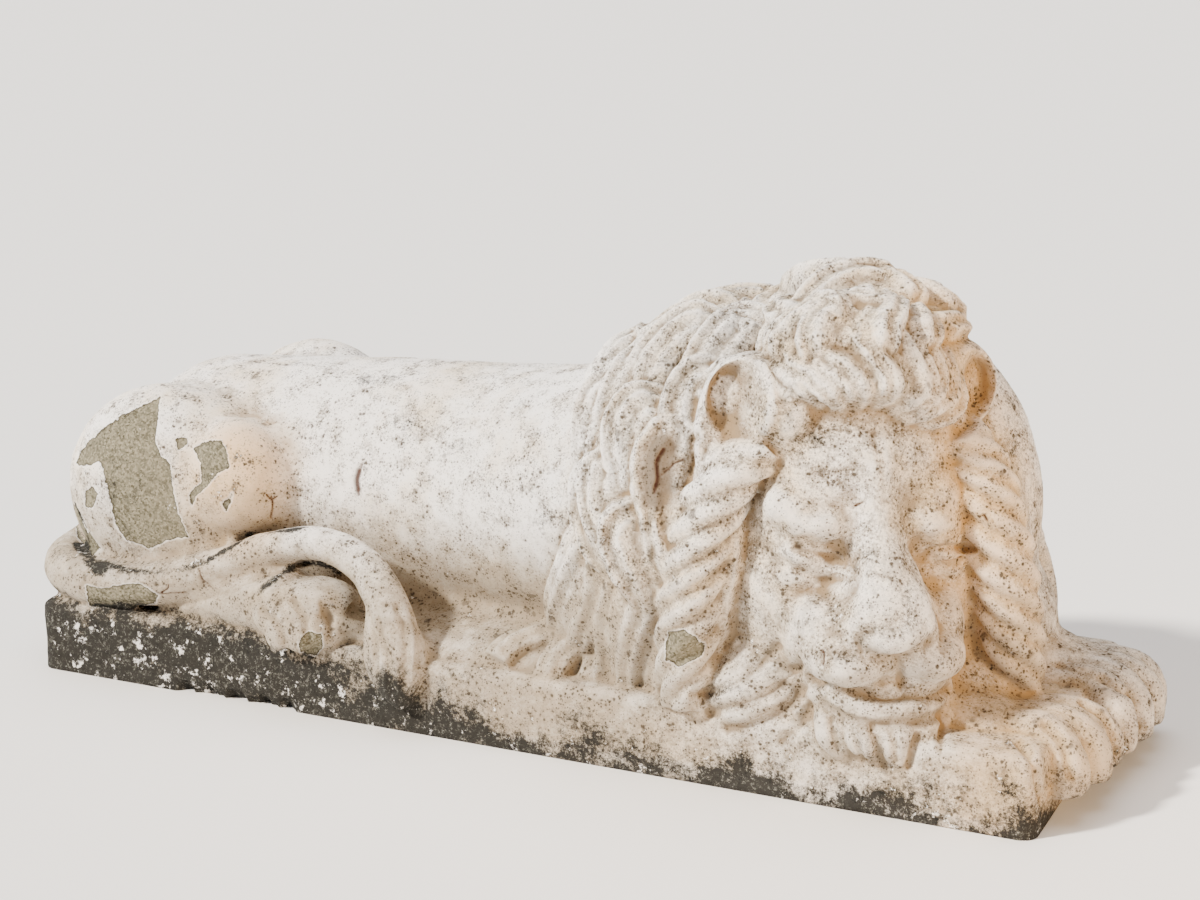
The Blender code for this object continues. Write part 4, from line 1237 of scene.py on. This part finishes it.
# %% Values for the coats to follow
# Wide creases get a little ochre: dirt and painted warm shade
known["creases"] = add(nodes, "ShaderNodeMapRange", {
    "Value": known["wide_hollow"], "From Max": 1.4, "To Max": 0.2
})
for name, weighed, weight, added in (
    ("age", "plain", -0.13, "clouds"), ("calm", "broad", 0.5, "mottle"), ("calm", "plain", -0.08, "calm"),
    ("tint", "warm", 0.46, "creases"), ("soil_and_low_shade", "soil_and_underside_shade", 1, "broad"), ("patchy", "plain", -0.03, "broad"),
    ("hold", "blots", -3.2, "grime"), ("hold", "flecks", -2.3, "hold"), ("chalk", "grime", 0.07, "chalk"),
    ("relief", "mottle", 0.8, "fine"),
):
    terms = {0: known[weighed], 1: weight, 2: known[added]}
    known[name] = add(nodes, "ShaderNodeMath", terms, operation="MULTIPLY_ADD")

# %% [markdown]
# The finish is laid on as it was on the real thing, coat over coat. Each coat follows one of these values:
# it begins at one number, is full at another, and says how much of it shows there.

# %% Coats
def coated(ground, *coats):
    """A colour with coats over it. Each has a value to follow, its start and end, a share and a colour."""
    for name, begins, full, most, tone in coats:
        share = add(nodes, "ShaderNodeMapRange", {
            "Value": known[name], "From Min": begins, "From Max": full, "To Max": most
        })
        ground = add(nodes, "ShaderNodeMix", {0: share, 6: ground, 7: tone}, data_type="RGBA")
    return ground


# %% [markdown]
# The first coats are old and new limewash in clouds a hand wide, under a mottle of a few millimetres that
# is strong on the head and weak on the smooth flank.

# %% Clouds and mottle
surface = coated(LIME_WHITE_AND_HIGHLIGHT, ("age", 0.34, 0.66, 1, LIME_OLD), ("calm", 0.66, 0.89, 0.95, LIME_DIRT_AND_SHADE))

# %% Ridges worn and with painted highlight, hollows with dirt and painted shade, then ochre and soil
surface = coated(
    # Ridges lighter as worn limewash and painted highlight, hollows darker as dirt and painted shade
    surface, ("hollow", -0.25, -1.2, 0.62, LIME_WHITE_AND_HIGHLIGHT), ("hollow", 0.05, 1.05, 0.95, LIME_DIRT_AND_SHADE),
    # Ochre: a stain by the haunch, painted warm light on face and forepaws, warm shade in creases. Soil: with
    # shade
    ("tint", 0, 1, 1, OCHRE_STAIN_WARM_LIGHT_AND_SHADE), ("soil_and_low_shade", 0.5, 1.4, 0.8, SOIL_AND_SHADE_GREY),
)

# %% [markdown]
# Lichen specks are drawn with Voronoi cells: each cell has one point, and a dark dot grows round it if the
# cell's random number says so. The coordinates are jumbled first, so that the dots aren't round.

# %% Specks of lichen
# Each row is a spacing in millimetres, the luck that a speck needs there, and how dark it is
for spacing, fewest, share in ((2.6, 0.05, 0.9), (4.8, 0.15, 0.9), (10, 0.35, 0.6)):
    jumble = add(nodes, "ShaderNodeTexNoise", {"Vector": where, "Scale": 1200 / spacing, "Detail": 3})
    moved = add(nodes, "ShaderNodeVectorMath", {
        0: jumble.outputs["Color"], 1: [0.6 * spacing / 1000] * 3, 2: where
    }, operation="MULTIPLY_ADD")
    cells = add(nodes, "ShaderNodeTexVoronoi", {"Vector": moved, "Scale": 1000 / spacing})
    luck = add(nodes, "ShaderNodeSeparateColor", {0: cells.outputs["Color"]})
    size = add(nodes, "ShaderNodeMath", {0: luck.outputs[0], 1: known["patchy"]}, operation="MULTIPLY")
    size = add(nodes, "ShaderNodeMapRange", {
        "Value": size, "From Min": fewest, "From Max": 0.62, "To Max": 0.62
    })
    away = cells.outputs["Distance"]
    known["speck"] = add(nodes, "ShaderNodeMath", {0: size, 1: away}, operation="SUBTRACT")
    surface = coated(surface, ("speck", -0.05, 0.22, share, LICHEN))

# %% [markdown]
# Where the coat has gone, grains of sand of about a millimetre and a half show, drawn a little coarser so
# that they can be seen. The outline from the skin is roughened by noise, a thin line of painted shade lies
# under its lip, and the rim of the coat outside it is lightened as a painted highlight.

# %% Bare sandy concrete
grains = add(nodes, "ShaderNodeTexVoronoi", {"Vector": where, "Scale": 1000 / 2.2})
known["grain"] = add(nodes, "ShaderNodeSeparateColor", {0: grains.outputs["Color"]}).outputs[0]
ragged = add(nodes, "ShaderNodeMath", {0: known["ragged"], 1: -0.5}, operation="ADD")
terms = {0: ragged, 1: 9, 2: known["peeled"]}
known["inside"] = add(nodes, "ShaderNodeMath", terms, operation="MULTIPLY_ADD")
sand = coated(
    SAND_DARK, ("grain", 0, 1, 1, SAND_PALE), ("clouds", 0.4, 0.7, 0.4, SAND_PALE),
    # A thin line of painted shade under the lip of the coat
    ("inside", 1.6, 0.2, 0.95, SAND_EDGE_SHADE),
)
# The rim of the coat round a patch is lightened as a painted highlight
surface = coated(surface, ("inside", -2.2, -0.4, 0.4, LIME_WHITE_AND_HIGHLIGHT), ("inside", -0.2, 0.2, 1, sand))

# %% [markdown]
# The crust near the ground is nearly black, with pale flecks of a few millimetres and, here and there, a
# larger blot where the old coat still holds. The cracks and the painted shade in the eye slits come last,
# over everything.

# %% Crust near the ground, cracks, and painted shade in the eye slits
crust = coated(CRUST_DARK, ("flecks", 0.54, 0.69, 1, CRUST_PALE))
surface = coated(
    surface, ("hold", -2.4, -2.0, 0.97, crust), ("chalk", 0.66, 0.69, 0.8, LIME_WHITE_AND_HIGHLIGHT),
    # Brown along the cracks, and painted shade along the eye slits
    ("cracks_and_slit_shade", 0.3, 0.75, 0.9, CRACK_AND_SLIT_SHADE_BROWN),
)
nodes.links.new(surface.outputs[2], shader.inputs["Base Color"])
print("the finish has", len(nodes.nodes), "nodes")

# %% Grain to the touch
rough = add(nodes, "ShaderNodeMapRange", {"Value": known["fine"], "To Min": 0.86, "To Max": 0.98})
nodes.links.new(rough.outputs[0], shader.inputs["Roughness"])
bump = add(nodes, "ShaderNodeBump", {"Height": known["relief"], "Strength": 0.7, "Distance": 0.0016})
nodes.links.new(bump.outputs[0], shader.inputs["Normal"])

# %% The finished piece
lion = new_object("weathered_lion", thinned)
lion.data.materials.clear()
lion.data.materials.append(stone)
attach(lion, "root")
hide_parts(NODE)

# %% [markdown]
# ## Floor and light
#
# The floor is plain and pale, and wide enough that its far edge is never seen. A soft key comes from the
# upper left and a broad one from above, a weak warm light stands low at the right, as from a sunlit wall,
# and a pale sky fills the shade.

# %% Floor
FLOOR_REACH = 200
floor_form = bmesh.new()
bmesh.ops.create_grid(floor_form, x_segments=1, y_segments=1, size=FLOOR_REACH)
floor_mesh = bpy.data.meshes.new("floor")
floor_form.to_mesh(floor_mesh)
floor_form.free()
floor = new_object("floor", floor_mesh)
paper = bpy.data.materials.new("pale_paper")
paper.use_nodes = True
paper.node_tree.nodes["Principled BSDF"].inputs["Base Color"].default_value = colour("#f4f3f1")
paper.node_tree.nodes["Principled BSDF"].inputs["Roughness"].default_value = 0.9
floor.data.materials.append(paper)

# %% Lights
LIT_SPOT = Vector((0, 0, 0.22))
for name, kind, spot, size, power, tint in (
    ("key", "SUN", (-2.0, -2.0, 2.4), 0.10, 8.6, "#fff5e8"),
    ("top", "SUN", (-0.4, 0.7, 3.0), 0.9, 2.0, "#f6f8ff"),
    ("warm_side", "AREA", (2.4, -1.1, 0.8), 0.9, 54, "#ffd39c"),
):
    lamp = bpy.data.lights.new(name, kind)
    lamp.energy = power
    lamp.color = colour(tint)[:3]
    if kind == "SUN":
        lamp.angle = size
    else:
        lamp.size = size
    light = new_object(name, lamp)
    light.location = spot
    light.rotation_euler = (Vector(spot) - LIT_SPOT).to_track_quat("Z", "Y").to_euler()
sky = bpy.data.worlds.new("soft_white")
sky.use_nodes = True
sky.node_tree.nodes["Background"].inputs["Color"].default_value = colour("#f6f8fb")
sky.node_tree.nodes["Background"].inputs["Strength"].default_value = 0.34
bpy.context.scene.world = sky
